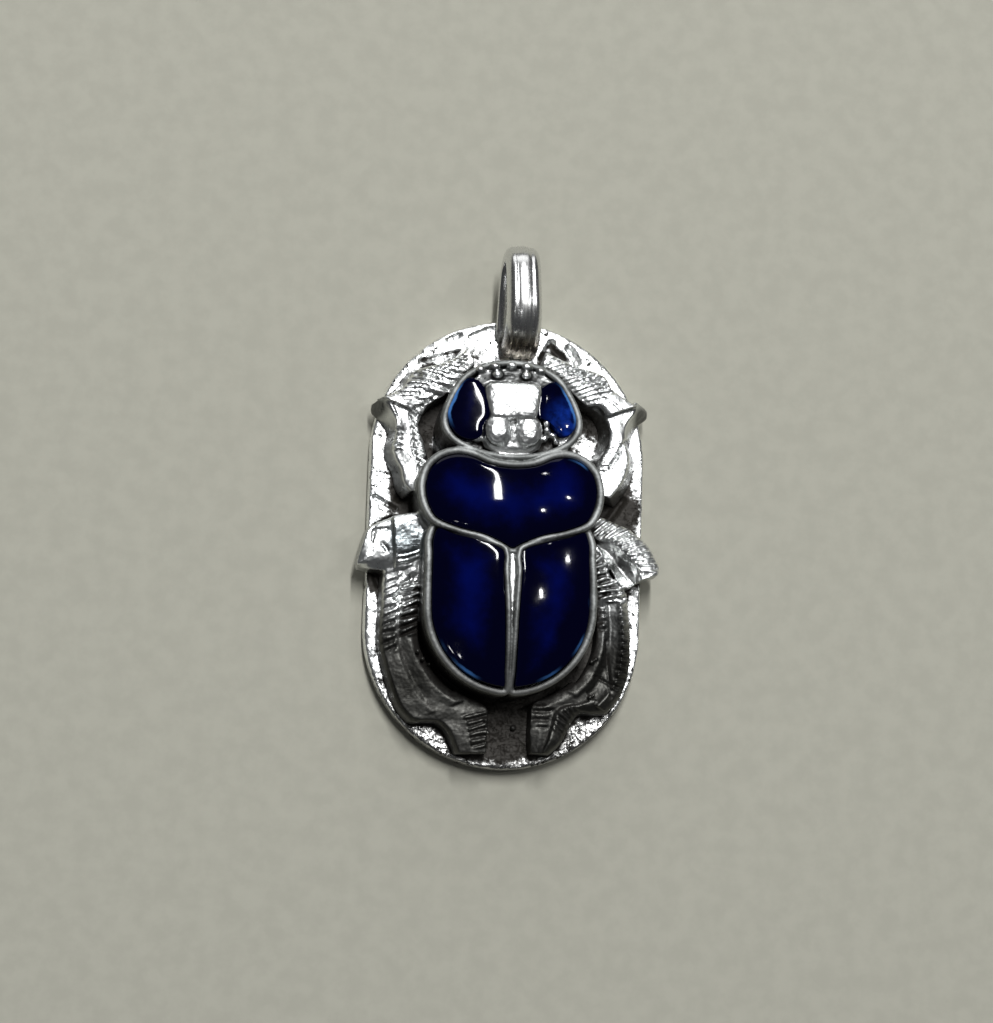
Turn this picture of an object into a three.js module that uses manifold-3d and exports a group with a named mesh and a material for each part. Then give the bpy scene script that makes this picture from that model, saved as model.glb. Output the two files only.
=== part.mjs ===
// A silver scarab pendant: an oblong plate, a cast beetle with six legs lying on it,
// five domed enamel fills set in the beetle's back, and a ribbed bail at the head end.
// Millimetres. +Z out of the face, +Y towards the bail, origin at the centre of the plate's underside.

import * as THREE from 'three';
import { mergeVertices } from 'three/addons/utils/BufferGeometryUtils.js';
import Module from 'manifold-3d';

const wasm = await Module();
wasm.setup();

// ---- driving dimensions -------------------------------------------------------------------

const PLATE = { width: 16.9, length: 27.6, thickness: 1.2, edgeBevel: 0.12, arcSteps: 18 };

const LAY_GAP = 0.04;
const BEETLE_TURN_DEGREES = 1.3;
const BEETLE_OFFSET_X = -0.2;
const BEETLE_FLOOR = PLATE.thickness + LAY_GAP;
const ABOVE_ALL = 9;

// Each lobe of the back is a paraboloid: crown height, its centre along Y, and how far it drops
// for each square millimetre across and along.
const HEAD_DOME = { crown: 5.3, centreY: 6.4, dropX: 0.03, dropY: 0.04 };
const THORAX_DOME = { crown: 6.0, centreY: 1.9, dropX: 0.031, dropY: 0.05 };
const WING_DOME = { crown: 5.95, centreY: -3.2, dropX: 0.032, dropY: 0.037 };
const RIM_HEIGHT = 0.8;
const RIM_OVERHANG = 0.28;
const WING_END = { centreY: -4.5, radius: 5.36, cellRadius: 4.76 };

// The beetle was worked by hand and its sides differ: how much further out a leg's edge lies.
const FRONT_REACH = { left: 0, right: 0.4 };
const MIDDLE_REACH = { left: -0.1, right: 0.25 };
const HIND = {
  left: { reach: -0.3, heelY: -11.0, heelX: 4.6, footInner: 0.95, footOuter: 3.0, end: -12.95 },
  right: { reach: 0, heelY: -10.45, heelX: 4.6, footInner: 1.6, footOuter: 3.3, end: -12.8 },
};

const ENAMEL_CLEARANCE = 0.04;
const ENAMEL_LIFT = 0.04;
const ENAMEL_EXTRA_CURVE = 0.012;
const CELL_FLOOR = { head: 3.5, thorax: 4.3, wings: 3.5 };

const FACE = {
  block: [[-1.42, 7.2], [1.42, 7.2], [1.58, 9.1], [-1.58, 9.1]],
  blockRise: 0.05,
  eye: { x: 0.86, y: 6.35, drop: 0.45, size: [0.92, 0.95, 0.75], segments: 14 },
  nape: { x: 0, y: 5.6, drop: 0.6, size: [1.75, 0.95, 0.72], segments: 12 },
  tooth: { x: 0.95, y: 9.92, drop: 0.85, size: [0.3, 0.24, 0.34], segments: 8 },
  hollow: [[-2.0, 9.55], [-1.1, 9.35], [1.1, 9.35], [2.0, 9.55], [1.5, 10.05], [0, 10.3], [-1.5, 10.05]],
  hollowDepth: 0.95,
};

const SEAM_GROOVE = {
  outline: [[-0.2, -1.5], [0, -1.2], [0.2, -1.5], [0.1, -4.2], [0, -7.0], [-0.1, -4.2]],
  depth: 0.25,
};

const BAIL = { width: 2.35, farWidth: 1.95, thickness: 1.05, offsetX: 0.08, stations: 24 };

const SILVER = 0xb4b2ae;
const DARK_SILVER = 0x9a9894;
const COBALT = 0x050f5c;

// ---- solids and outlines ------------------------------------------------------------------

function solidOf(geometry) {
  const bare = geometry.clone();
  bare.deleteAttribute('normal');
  bare.deleteAttribute('uv');
  const merged = mergeVertices(bare, 1e-5);
  return new wasm.Manifold(new wasm.Mesh({
    numProp: 3,
    vertProperties: new Float32Array(merged.attributes.position.array),
    triVerts: new Uint32Array(merged.index.array),
  }));
}

function geometryOf(solid) {
  const mesh = solid.getMesh();
  const geometry = new THREE.BufferGeometry();
  geometry.setAttribute('position', new THREE.BufferAttribute(new Float32Array(mesh.vertProperties), 3));
  geometry.setIndex(new THREE.BufferAttribute(new Uint32Array(mesh.triVerts), 1));
  const flat = geometry.toNonIndexed();
  flat.computeVertexNormals();
  return flat;
}

function joined(solids) {
  return solids.reduce((sum, solid) => sum.add(solid));
}

function points(pairs) {
  return pairs.map(([x, y]) => new THREE.Vector2(x, y));
}

function mirrored(pairs) {
  return pairs.map(([x, y]) => [-x, y]);
}

// A half outline from the top of the middle line, down the +X side, to its foot, made whole.
function bothSides(half) {
  const left = mirrored(half).reverse().filter(([x]) => Math.abs(x) > 1e-6);
  return [...half, ...left];
}

function curveThrough(pairs, closed) {
  const nodes = pairs.map(([x, y]) => new THREE.Vector3(x, y, 0));
  return new THREE.CatmullRomCurve3(nodes, closed, 'centripetal');
}

function smoothOutline(pairs, steps) {
  const outline = curveThrough(pairs, true).getSpacedPoints(steps);
  outline.pop();
  return outline.map((p) => new THREE.Vector2(p.x, p.y));
}

function arcPairs(centreY, radius, fromDegrees, toDegrees, steps) {
  return Array.from({ length: steps + 1 }, (_, i) => {
    const angle = THREE.MathUtils.degToRad(THREE.MathUtils.lerp(fromDegrees, toDegrees, i / steps));
    return [radius * Math.cos(angle), centreY + radius * Math.sin(angle)];
  });
}

// The outline moved inwards, each point along the mean normal of its two edges.
function inset(outline, distance) {
  const side = THREE.ShapeUtils.area(outline) > 0 ? 1 : -1;
  const count = outline.length;
  return outline.map((point, i) => {
    const before = outline[(i + count - 1) % count];
    const after = outline[(i + 1) % count];
    const along = after.clone().sub(before).normalize();
    return new THREE.Vector2(point.x - side * distance * along.y, point.y + side * distance * along.x);
  });
}

function prism(outline, bottom, top) {
  const geometry = new THREE.ExtrudeGeometry(new THREE.Shape(outline), {
    depth: top - bottom,
    bevelEnabled: false,
  });
  geometry.translate(0, 0, bottom);
  return solidOf(geometry);
}

// A closed body through rings of points, each ring running the same way round.
function loft(rings) {
  const size = rings[0].length;
  const vertices = rings.flat();
  const index = [];
  for (let ring = 0; ring < rings.length - 1; ring += 1) {
    for (let i = 0; i < size; i += 1) {
      const a = ring * size + i;
      const b = ring * size + ((i + 1) % size);
      index.push(a, b, a + size, b, b + size, a + size);
    }
  }
  const capped = (ring, flip) => {
    const middle = rings[ring].reduce((sum, p) => sum.add(p), new THREE.Vector3()).divideScalar(size);
    const hub = vertices.push(middle) - 1;
    for (let i = 0; i < size; i += 1) {
      const a = ring * size + i;
      const b = ring * size + ((i + 1) % size);
      index.push(hub, flip ? b : a, flip ? a : b);
    }
  };
  capped(0, true);
  capped(rings.length - 1, false);
  const geometry = new THREE.BufferGeometry().setFromPoints(vertices);
  geometry.setIndex(index);
  const solid = solidOf(geometry);
  if (solid.volume() > 0) return solid;
  geometry.setIndex(index.reverse());
  return solidOf(geometry);
}

// A paraboloid cap standing on a flat floor, wide enough to cover its lobe.
function dome({ crown, centreY, dropX, dropY }, lift, floor) {
  const depth = crown + lift - floor;
  const rings = 8;
  const segments = 26;
  const profile = [new THREE.Vector2(0, floor)];
  for (let i = rings; i >= 0; i -= 1) {
    const reach = i / rings;
    profile.push(new THREE.Vector2(reach, crown + lift - depth * reach * reach));
  }
  const geometry = new THREE.LatheGeometry(profile, segments);
  geometry.rotateX(Math.PI / 2);
  geometry.scale(Math.sqrt(depth / dropX), Math.sqrt(depth / dropY), 1);
  geometry.translate(0, centreY, 0);
  return solidOf(geometry);
}

// ---- the plate ----------------------------------------------------------------------------

function plateGeometry() {
  const radius = PLATE.width / 2 - PLATE.edgeBevel;
  const centreY = PLATE.length / 2 - PLATE.width / 2;
  const outline = new THREE.Shape();
  outline.absarc(0, centreY, radius, 0, Math.PI, false);
  outline.absarc(0, -centreY, radius, Math.PI, 2 * Math.PI, false);
  const geometry = new THREE.ExtrudeGeometry(outline, {
    depth: PLATE.thickness - 2 * PLATE.edgeBevel,
    bevelThickness: PLATE.edgeBevel,
    bevelSize: PLATE.edgeBevel,
    bevelSegments: 1,
    curveSegments: PLATE.arcSteps,
  });
  geometry.translate(0, 0, PLATE.edgeBevel);
  return geometryOf(solidOf(geometry));
}

// ---- the beetle's back --------------------------------------------------------------------

const HEAD_OUTLINE = smoothOutline(bothSides([
  [0, 10.9], [1.5, 10.78], [2.75, 10.3], [3.65, 9.6], [4.2, 8.7], [4.45, 7.6], [4.4, 6.6],
  [4.0, 5.8], [3.2, 5.0], [0, 4.2],
]), 36);

const THORAX_OUTLINE = smoothOutline(bothSides([
  [0, 4.35], [1.3, 4.5], [2.5, 5.0], [3.4, 5.25], [4.4, 5.1], [5.2, 4.4], [5.7, 3.4], [5.78, 2.3],
  [5.6, 1.2], [5.2, 0.3], [4.2, -0.3], [2.4, -0.7], [0, -1.5],
]), 50);

const WING_OUTLINE = points(bothSides([
  [0, 0.2], [4.0, 0.6], [5.1, 0.35], [5.24, -1.0], [5.34, -2.6],
  ...arcPairs(WING_END.centreY, WING_END.radius, 0, -90, 12),
]));

const THORAX_CELL = smoothOutline(bothSides([
  [0, 3.75], [1.3, 3.98], [2.5, 4.48], [3.5, 4.55], [4.4, 4.15], [5.0, 3.4], [5.18, 2.5],
  [4.98, 1.6], [4.45, 0.8], [3.2, 0.22], [1.7, -0.15], [0, -0.85],
]), 40);

function wingCell() {
  const end = arcPairs(WING_END.centreY, WING_END.cellRadius, 0, -81, 9);
  const top = [[0.72, -1.0], [1.9, -0.55], [3.1, -0.22], [4.15, 0.08], [4.44, -0.15], [4.62, -2.2]];
  return points([...top, ...end, [0.36, -9.18], [0.42, -6.2], [0.55, -3.2], [0.68, -1.4]]);
}

const WING_CELL = wingCell();

const LEFT_CHEEK_CELL = smoothOutline([
  [-2.1, 9.4], [-2.95, 9.3], [-3.45, 8.5], [-3.8, 7.4], [-3.65, 6.3], [-3.0, 5.72], [-2.3, 5.62],
  [-1.85, 6.0], [-1.75, 6.7], [-1.5, 7.3], [-1.5, 8.3], [-1.65, 9.0],
], 26);

const RIGHT_CHEEK_CELL = smoothOutline([
  [2.1, 9.45], [1.75, 8.9], [1.7, 8.2], [1.6, 7.5], [2.1, 7.1], [2.6, 6.6], [3.1, 6.28], [3.6, 6.6],
  [3.82, 7.4], [3.6, 8.3], [3.3, 9.0], [2.9, 9.5],
], 26);

// One lobe: a wall set in under an overhanging rim, both following the lobe's dome.
function lobe(outline, shape) {
  const wallTop = dome(shape, -RIM_HEIGHT / 2, BEETLE_FLOOR - 1);
  const rimTop = dome(shape, 0, BEETLE_FLOOR - 1);
  const rimUnderside = dome(shape, -RIM_HEIGHT, BEETLE_FLOOR - 2);
  const wall = prism(inset(outline, RIM_OVERHANG), BEETLE_FLOOR, ABOVE_ALL).intersect(wallTop);
  const rim = prism(outline, BEETLE_FLOOR, ABOVE_ALL).intersect(rimTop.subtract(rimUnderside));
  return wall.add(rim);
}

function bump({ y, drop, size, segments }, x) {
  const geometry = new THREE.SphereGeometry(1, segments, Math.ceil(segments / 2));
  geometry.rotateX(Math.PI / 2);
  geometry.scale(...size);
  geometry.translate(x, y, HEAD_DOME.crown - drop);
  return solidOf(geometry);
}

// The middle of the head: a block between the cheeks, two round bumps behind it that run into
// one at the nape, and a row of teeth in the shallow hollow in front.
function faceParts() {
  const block = prism(points(FACE.block), CELL_FLOOR.head, HEAD_DOME.crown + FACE.blockRise);
  const eyes = [-1, 1].map((side) => bump(FACE.eye, side * FACE.eye.x));
  const teeth = [-1, 0, 1].map((place) => bump(FACE.tooth, place * FACE.tooth.x));
  return joined([block, ...eyes, bump(FACE.nape, FACE.nape.x), ...teeth]);
}

function clypeusHollow() {
  return prism(points(FACE.hollow), HEAD_DOME.crown - FACE.hollowDepth, ABOVE_ALL);
}

// The groove between the two wires of the wing seam.
function seamGroove() {
  const bottom = dome(WING_DOME, -SEAM_GROOVE.depth, BEETLE_FLOOR);
  return prism(points(SEAM_GROOVE.outline), CELL_FLOOR.wings, ABOVE_ALL).subtract(bottom);
}

// ---- the legs -----------------------------------------------------------------------------

// Each stretch of leg is a band between an outer and an inner edge, given for the +X side.
// Across it the top climbs from the outer edge to a ridge and falls to the inner edge; the outer
// wall spreads by the skirt at its foot; and along it every second station is cut lower by the
// bite, which makes the rows of bristles.
const FRONT_THIGH = {
  outer: [[2.1, 12.1], [3.2, 11.3], [4.3, 10.55], [5.4, 10.25], [6.1, 9.6], [6.7, 8.8], [7.35, 8.2]],
  inner: [[1.7, 10.9], [2.6, 10.2], [3.5, 9.2], [4.3, 8.5], [4.9, 8.0], [5.35, 7.5], [5.7, 6.9]],
  heights: { outer: 2.6, ridge: 3.35, inner: 3.0 },
  ridgeAt: 0.45,
  teeth: 11,
  skirt: 0.3,
  bite: 0.14,
};

const FRONT_SHIN = {
  outer: [[7.3, 8.3], [7.0, 7.4], [6.95, 6.6], [7.2, 5.8], [7.2, 4.9], [6.8, 3.8], [6.05, 2.4]],
  inner: [[5.2, 7.9], [5.7, 7.1], [5.85, 6.3], [5.7, 5.5], [5.4, 4.6], [5.1, 3.6], [5.0, 2.6]],
  heights: { outer: 2.7, ridge: 3.3, inner: 2.9 },
  ridgeAt: 0.5,
  teeth: 9,
  skirt: 0.42,
  bite: 0.12,
};

const FRONT_SPUR = {
  outline: [[6.4, 8.95], [7.95, 8.3], [7.9, 8.05], [7.1, 7.7], [6.2, 7.9]],
  top: 2.75,
};

const MIDDLE_THIGH = {
  outer: [[5.0, 1.6], [6.6, 1.25], [7.6, 0.75], [8.4, -0.1], [8.85, -0.95], [9.2, -1.75]],
  inner: [[4.8, -1.9], [5.6, -2.2], [6.5, -2.4], [7.4, -2.35], [8.2, -2.15], [8.95, -1.95]],
  heights: { outer: 2.75, ridge: 3.4, inner: 2.7 },
  ridgeAt: 0.5,
  teeth: 7,
  skirt: 0.08,
  bite: 0.13,
};

const MIDDLE_ROOT = {
  outer: [[7.7, -2.1], [7.35, -2.9], [6.9, -3.6]],
  inner: [[4.9, -1.2], [4.8, -2.6], [4.8, -3.8]],
  heights: { outer: 2.5, ridge: 2.9, inner: 2.7 },
  ridgeAt: 0.45,
  teeth: 4,
  skirt: 0.15,
  bite: 0.13,
};

function hindShin({ reach, heelY }) {
  const edge = [[7.4, -2.6], [7.6, -4.5], [7.6, -6.4], [7.3, -8.2], [6.7, -9.6], [5.9, heelY]];
  return {
    outer: edge.map(([x, y]) => [x + reach, y]),
    inner: [[4.9, -2.6], [5.0, -4.5], [4.85, -6.2], [4.3, -7.6], [3.6, -8.6], [2.9, -9.4]],
    heights: { outer: 2.3, ridge: 2.95, inner: 2.6 },
    ridgeAt: 0.5,
    teeth: 15,
    skirt: 0.2,
    bite: 0.14,
  };
}

function hindFoot({ reach, heelX, heelY, footInner, footOuter, end }) {
  return {
    outer: [
      [5.9 + reach, heelY], [heelX, heelY - 0.05], [footOuter + 0.4, heelY - 1.0],
      [footOuter + 0.1, end + 0.4], [footOuter - 0.2, end],
    ],
    inner: [[2.9, -9.0], [1.4, -9.3], [footInner, -10.6], [footInner, -11.8], [footInner + 0.1, end]],
    heights: { outer: 2.3, ridge: 2.7, inner: 2.6 },
    ridgeAt: 0.5,
    teeth: 8,
    skirt: 0.2,
    bite: 0.12,
  };
}

// How far a leg's inner wall spreads at its foot, as a share of the outer wall's spread.
const INNER_SKIRT = 0.3;

// Points of a right leg moved outwards by a reach, and mirrored for a left leg.
function sided(side, pairs, reach = 0) {
  const moved = pairs.map(([x, y]) => [x + reach, y]);
  return side > 0 ? moved : mirrored(moved);
}

function legBand({ outer, inner, heights, ridgeAt, teeth, skirt, bite }, side, reach = 0) {
  const outerCurve = curveThrough(sided(side, outer, reach), false);
  const innerCurve = curveThrough(sided(side, inner, reach / 2), false);
  const stations = teeth * 2;
  const rings = [];
  for (let i = 0; i <= stations; i += 1) {
    const o = outerCurve.getPointAt(i / stations);
    const n = innerCurve.getPointAt(i / stations);
    const ridge = o.clone().lerp(n, ridgeAt);
    const spread = o.clone().sub(n).normalize().multiplyScalar(skirt);
    const sink = i % 2 ? bite : 0;
    rings.push([
      new THREE.Vector3(o.x + spread.x, o.y + spread.y, BEETLE_FLOOR),
      new THREE.Vector3(o.x, o.y, heights.outer - sink),
      new THREE.Vector3(ridge.x, ridge.y, heights.ridge - sink),
      new THREE.Vector3(n.x, n.y, heights.inner - sink),
      new THREE.Vector3(n.x - INNER_SKIRT * spread.x, n.y - INNER_SKIRT * spread.y, BEETLE_FLOOR),
    ]);
  }
  return loft(rings);
}

function frontLeg(side) {
  const reach = side > 0 ? FRONT_REACH.right : FRONT_REACH.left;
  const spurOutline = points(sided(side, FRONT_SPUR.outline, reach * 1.5));
  return joined([
    legBand(FRONT_THIGH, side),
    legBand(FRONT_SHIN, side, reach),
    prism(spurOutline, BEETLE_FLOOR, FRONT_SPUR.top),
  ]);
}

function middleLeg(side) {
  const reach = side > 0 ? MIDDLE_REACH.right : MIDDLE_REACH.left;
  return legBand(MIDDLE_THIGH, side, reach).add(legBand(MIDDLE_ROOT, side));
}

function hindLeg(side) {
  const form = side > 0 ? HIND.right : HIND.left;
  return legBand(hindShin(form), side).add(legBand(hindFoot(form), side));
}

// ---- the casting and its enamel -----------------------------------------------------------

function enamelCells() {
  const wings = [WING_CELL, WING_CELL.map((p) => new THREE.Vector2(-p.x, p.y))];
  return [
    { name: 'enamel_cheek_left', outline: LEFT_CHEEK_CELL, shape: HEAD_DOME, floor: CELL_FLOOR.head },
    { name: 'enamel_cheek_right', outline: RIGHT_CHEEK_CELL, shape: HEAD_DOME, floor: CELL_FLOOR.head },
    { name: 'enamel_thorax', outline: THORAX_CELL, shape: THORAX_DOME, floor: CELL_FLOOR.thorax },
    { name: 'enamel_wing_left', outline: wings[1], shape: WING_DOME, floor: CELL_FLOOR.wings },
    { name: 'enamel_wing_right', outline: wings[0], shape: WING_DOME, floor: CELL_FLOOR.wings },
  ];
}

function castingSolid() {
  const back = joined([
    lobe(HEAD_OUTLINE, HEAD_DOME),
    lobe(THORAX_OUTLINE, THORAX_DOME),
    lobe(WING_OUTLINE, WING_DOME),
  ]);
  const cut = back.subtract(clypeusHollow()).subtract(seamGroove());
  const legs = [-1, 1].flatMap((side) => [frontLeg(side), middleLeg(side), hindLeg(side)]);
  const cells = enamelCells().map((cell) => prism(cell.outline, cell.floor, ABOVE_ALL));
  return joined([cut, faceParts(), ...legs]).subtract(joined(cells));
}

function enamelSolid({ outline, shape, floor }) {
  const fill = prism(inset(outline, ENAMEL_CLEARANCE), floor + ENAMEL_CLEARANCE, ABOVE_ALL);
  const crowned = {
    ...shape,
    dropX: shape.dropX + ENAMEL_EXTRA_CURVE,
    dropY: shape.dropY + ENAMEL_EXTRA_CURVE,
  };
  return fill.intersect(dome(crowned, ENAMEL_LIFT, floor - 1));
}

// ---- the bail -----------------------------------------------------------------------------

// The loop's centre line, seen from the side: from the low foot on the plate out to the far
// round, back over the top and down to the near foot behind the head.
const BAIL_ROUTE = [
  [12.95, 1.78], [14.4, 1.85], [15.8, 2.02], [16.95, 2.5], [17.42, 3.4], [16.9, 4.3], [15.6, 4.75],
  [14.0, 4.85], [12.9, 4.4], [12.2, 3.4], [11.95, BEETLE_FLOOR],
];

// The strap's section: flat inside, sloping sides, a broad middle rib between two narrow ones.
function bailSection(width) {
  const t = BAIL.thickness;
  const half = [
    [0.5, 0.1], [0.5, 0.5], [0.42, 0.8], [0.34, 0.95], [0.25, 0.95], [0.2, 0.82], [0.155, 1.0],
  ];
  const right = half.map(([across, up]) => [across * width, (up - 0.5) * t]);
  const left = mirrored(right).reverse();
  return [...right, ...left, [-0.4 * width, -0.5 * t], [0.4 * width, -0.5 * t]];
}

function bailGeometry() {
  const route = curveThrough(BAIL_ROUTE, false);
  const rings = [];
  for (let i = 0; i <= BAIL.stations; i += 1) {
    const along = i / BAIL.stations;
    const centre = route.getPointAt(along);
    const heading = route.getTangentAt(along);
    const narrowing = Math.sin(Math.PI * along);
    const width = THREE.MathUtils.lerp(BAIL.width, BAIL.farWidth, narrowing);
    rings.push(bailSection(width).map(([across, up]) => new THREE.Vector3(
      BAIL.offsetX + across,
      centre.x + up * heading.y,
      centre.y - up * heading.x,
    )));
  }
  return geometryOf(loft(rings));
}

// ---- assembly -----------------------------------------------------------------------------

function metal(color, roughness) {
  return new THREE.MeshStandardMaterial({ color, metalness: 1, roughness });
}

function enamel() {
  return new THREE.MeshStandardMaterial({ color: COBALT, metalness: 0, roughness: 0.1 });
}

function named(name, geometry, material) {
  const mesh = new THREE.Mesh(geometry, material);
  mesh.name = name;
  return mesh;
}

function assemble() {
  const beetle = new THREE.Group();
  beetle.add(named('scarab_casting', geometryOf(castingSolid()), metal(SILVER, 0.35)));
  enamelCells().forEach((cell) => beetle.add(named(cell.name, geometryOf(enamelSolid(cell)), enamel())));
  beetle.rotation.z = THREE.MathUtils.degToRad(BEETLE_TURN_DEGREES);
  beetle.position.x = BEETLE_OFFSET_X;

  const pendant = new THREE.Group();
  pendant.add(named('base_plate', plateGeometry(), metal(DARK_SILVER, 0.4)));
  pendant.add(beetle);
  pendant.add(named('bail', bailGeometry(), metal(SILVER, 0.25)));
  return pendant;
}

export default assemble();
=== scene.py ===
"""A silver scarab pendant with cobalt enamel, lying on its back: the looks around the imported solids.

Pieces are shaped in millimetres, in the frame of the solids, and brought to metres when finished.
"""

import math
from functools import reduce

import bpy
import numpy as np
from mathutils import Matrix, Vector
from mathutils.bvhtree import BVHTree


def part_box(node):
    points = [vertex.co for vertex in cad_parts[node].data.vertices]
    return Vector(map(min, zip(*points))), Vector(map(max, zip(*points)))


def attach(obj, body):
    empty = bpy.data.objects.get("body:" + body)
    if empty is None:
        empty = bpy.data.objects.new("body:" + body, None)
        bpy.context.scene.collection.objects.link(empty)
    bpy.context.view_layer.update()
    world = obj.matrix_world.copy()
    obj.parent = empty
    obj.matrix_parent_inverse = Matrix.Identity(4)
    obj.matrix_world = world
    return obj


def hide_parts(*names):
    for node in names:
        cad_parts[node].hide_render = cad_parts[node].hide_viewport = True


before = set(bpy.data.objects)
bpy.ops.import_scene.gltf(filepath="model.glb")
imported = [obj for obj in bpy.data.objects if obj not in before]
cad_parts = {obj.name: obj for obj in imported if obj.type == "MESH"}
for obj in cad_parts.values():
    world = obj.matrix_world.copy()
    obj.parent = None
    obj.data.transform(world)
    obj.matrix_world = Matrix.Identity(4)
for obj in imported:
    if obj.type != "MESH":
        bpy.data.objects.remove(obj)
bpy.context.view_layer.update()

# ---- sizes, from the frame ----

MM = 0.001


def box_mm(node):
    """Lowest and highest corner of a solid, in millimetres."""
    low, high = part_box(node)
    return low / MM, high / MM


PLATE_LOW, PLATE_HIGH = box_mm("base_plate")
PLATE_TOP = PLATE_HIGH.z
PLATE_RADIUS = (PLATE_HIGH.x - PLATE_LOW.x) / 2
PLATE_ARC_Y = PLATE_HIGH.y - PLATE_RADIUS

CASTING_FLOOR = box_mm("scarab_casting")[0].z
CHEEK_TOP = box_mm("enamel_cheek_left")[1].z
THORAX_LOW, THORAX_HIGH = box_mm("enamel_thorax")
BAIL_LOW, BAIL_HIGH = box_mm("bail")

BEETLE_TURN = math.radians(1.3)
THORAX_CENTRE_Y = 1.9
BEETLE_X = (THORAX_LOW.x + THORAX_HIGH.x) / 2 + THORAX_CENTRE_Y * math.sin(BEETLE_TURN)

# Each lobe of the back is a paraboloid: crown height, centre along Y, drop across and along.
HEAD_TOP = CHEEK_TOP + 0.35
HEAD_DOME = (HEAD_TOP, 6.4, 0.030, 0.040)
LEFT_CHEEK_DOME = (HEAD_TOP - 0.06, 6.4, 0.0175, 0.040)
THORAX_DOME = (THORAX_HIGH.z - 0.04, 1.9, 0.031, 0.050)
WING_DOME = (THORAX_HIGH.z - 0.09, -3.2, 0.032, 0.037)

# Rise per millimetre along X and Y that turns a flat top to the long light.
LIT_LEAN = (0.07, -0.11)

CASTING_VOXEL = 0.07
CASTING_TRIANGLES = 190000
WIRE_VOXEL = 0.05
WIRE_TRIANGLES = 120000
SLAB_VOXEL = 0.1
SEED = 11
# Points laid between two knots of a smooth line before it is spaced evenly.
KNOT_STEPS = 24


# ---- outlines ----


def catmull_rom(knots, samples):
    """Points on the inner stretches of a centripetal Catmull-Rom curve through the knots."""
    knots = np.asarray(knots, float)
    run = []
    for p0, p1, p2, p3 in zip(knots, knots[1:], knots[2:], knots[3:]):
        reach = [math.sqrt(np.linalg.norm(b[:2] - a[:2])) for a, b in ((p0, p1), (p1, p2), (p2, p3))]
        t0, t1, t2, t3 = np.cumsum([0.0, *reach])
        t = np.linspace(t1, t2, samples, endpoint=False)[:, None]
        a1 = (t1 - t) / (t1 - t0) * p0 + (t - t0) / (t1 - t0) * p1
        a2 = (t2 - t) / (t2 - t1) * p1 + (t - t1) / (t2 - t1) * p2
        a3 = (t3 - t) / (t3 - t2) * p2 + (t - t2) / (t3 - t2) * p3
        b1 = (t2 - t) / (t2 - t0) * a1 + (t - t0) / (t2 - t0) * a2
        b2 = (t3 - t) / (t3 - t1) * a2 + (t - t1) / (t3 - t1) * a3
        run.append((t2 - t) / (t2 - t1) * b1 + (t - t1) / (t2 - t1) * b2)
    return np.concatenate(run)


def evenly(points, count, closed):
    """The same line with evenly spaced points; columns past X and Y are carried along."""
    if closed:
        points = np.vstack([points, points[:1]])
    steps = np.linalg.norm(np.diff(points[:, :2], axis=0), axis=1)
    way = np.concatenate([[0], np.cumsum(steps)])
    marks = np.linspace(0, way[-1], count, endpoint=not closed)
    return np.stack([np.interp(marks, way, points[:, i]) for i in range(points.shape[1])], 1)


def loop(knots, count):
    """A closed smooth line through the knots."""
    ring = [knots[-1], *knots, knots[0], knots[1]]
    return evenly(catmull_rom(ring, KNOT_STEPS), count, closed=True)


def path(knots, count):
    """An open smooth line through the knots."""
    knots = np.asarray(knots, float)
    ends = [2 * knots[0] - knots[1], *knots, 2 * knots[-1] - knots[-2]]
    line = np.vstack([catmull_rom(ends, KNOT_STEPS), knots[-1:]])
    return evenly(line, count, closed=False)


def both_sides(half):
    """A half outline, from the top of the middle line down its +X side, made whole."""
    other = [(-knot[0], *knot[1:]) for knot in reversed(half) if abs(knot[0]) > 1e-6]
    return [*half, *other]


def flipped(knots):
    """The same knots on the other side of the middle line."""
    return [(-knot[0], *knot[1:]) for knot in knots]


def arc(centre_y, radius, start, end, steps, *extra):
    """Knots on an arc round the middle line, from one angle to another in degrees."""
    angles = np.radians(np.linspace(start, end, steps + 1))
    return [(radius * math.cos(a), centre_y + radius * math.sin(a), *extra) for a in angles]


def normals_2d(line, closed=True):
    """Unit vectors square to a line, to the left of its heading."""
    if closed:
        along = np.roll(line[:, :2], -1, 0) - np.roll(line[:, :2], 1, 0)
    else:
        along = np.gradient(line[:, :2], axis=0)
    along /= np.linalg.norm(along, axis=1, keepdims=True)
    return np.stack([-along[:, 1], along[:, 0]], 1)


def grown(line, distance):
    """A closed line moved outwards by a distance, or by one for each of its points."""
    x, y = line[:, 0], line[:, 1]
    area = np.sum(x * np.roll(y, -1) - np.roll(x, -1) * y)
    side = -1.0 if area > 0 else 1.0
    moved = line.copy()
    moved[:, :2] += side * normals_2d(line) * np.reshape(distance, (-1, 1))
    return moved


def dome_z(dome, x, y):
    """The height of a lobe's paraboloid at a place."""
    crown, centre_y, drop_x, drop_y = dome
    return crown - drop_x * x * x - drop_y * (y - centre_y) ** 2


# ---- the bench ----


def deselect():
    bpy.ops.object.select_all(action="DESELECT")


def active(piece):
    deselect()
    piece.select_set(True)
    bpy.context.view_layer.objects.active = piece
    return piece


def edit(piece, work):
    """Does some work on a piece in edit mode."""
    active(piece)
    bpy.ops.object.mode_set(mode="EDIT")
    work()
    bpy.ops.object.mode_set(mode="OBJECT")
    return piece


def face_outwards():
    bpy.ops.mesh.select_all(action="SELECT")
    bpy.ops.mesh.normals_make_consistent(inside=False)


def added(primitive, **settings):
    """Adds a primitive with one of Blender's operators. Nothing else stays selected."""
    deselect()
    primitive(**settings)
    return bpy.context.object


def points_of(piece, what):
    """The places ("co") or the normals ("normal") of a piece's points."""
    flat = np.empty(len(piece.data.vertices) * 3)
    piece.data.vertices.foreach_get(what, flat)
    return flat.reshape(-1, 3)


def coordinates(piece):
    return points_of(piece, "co")


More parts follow.
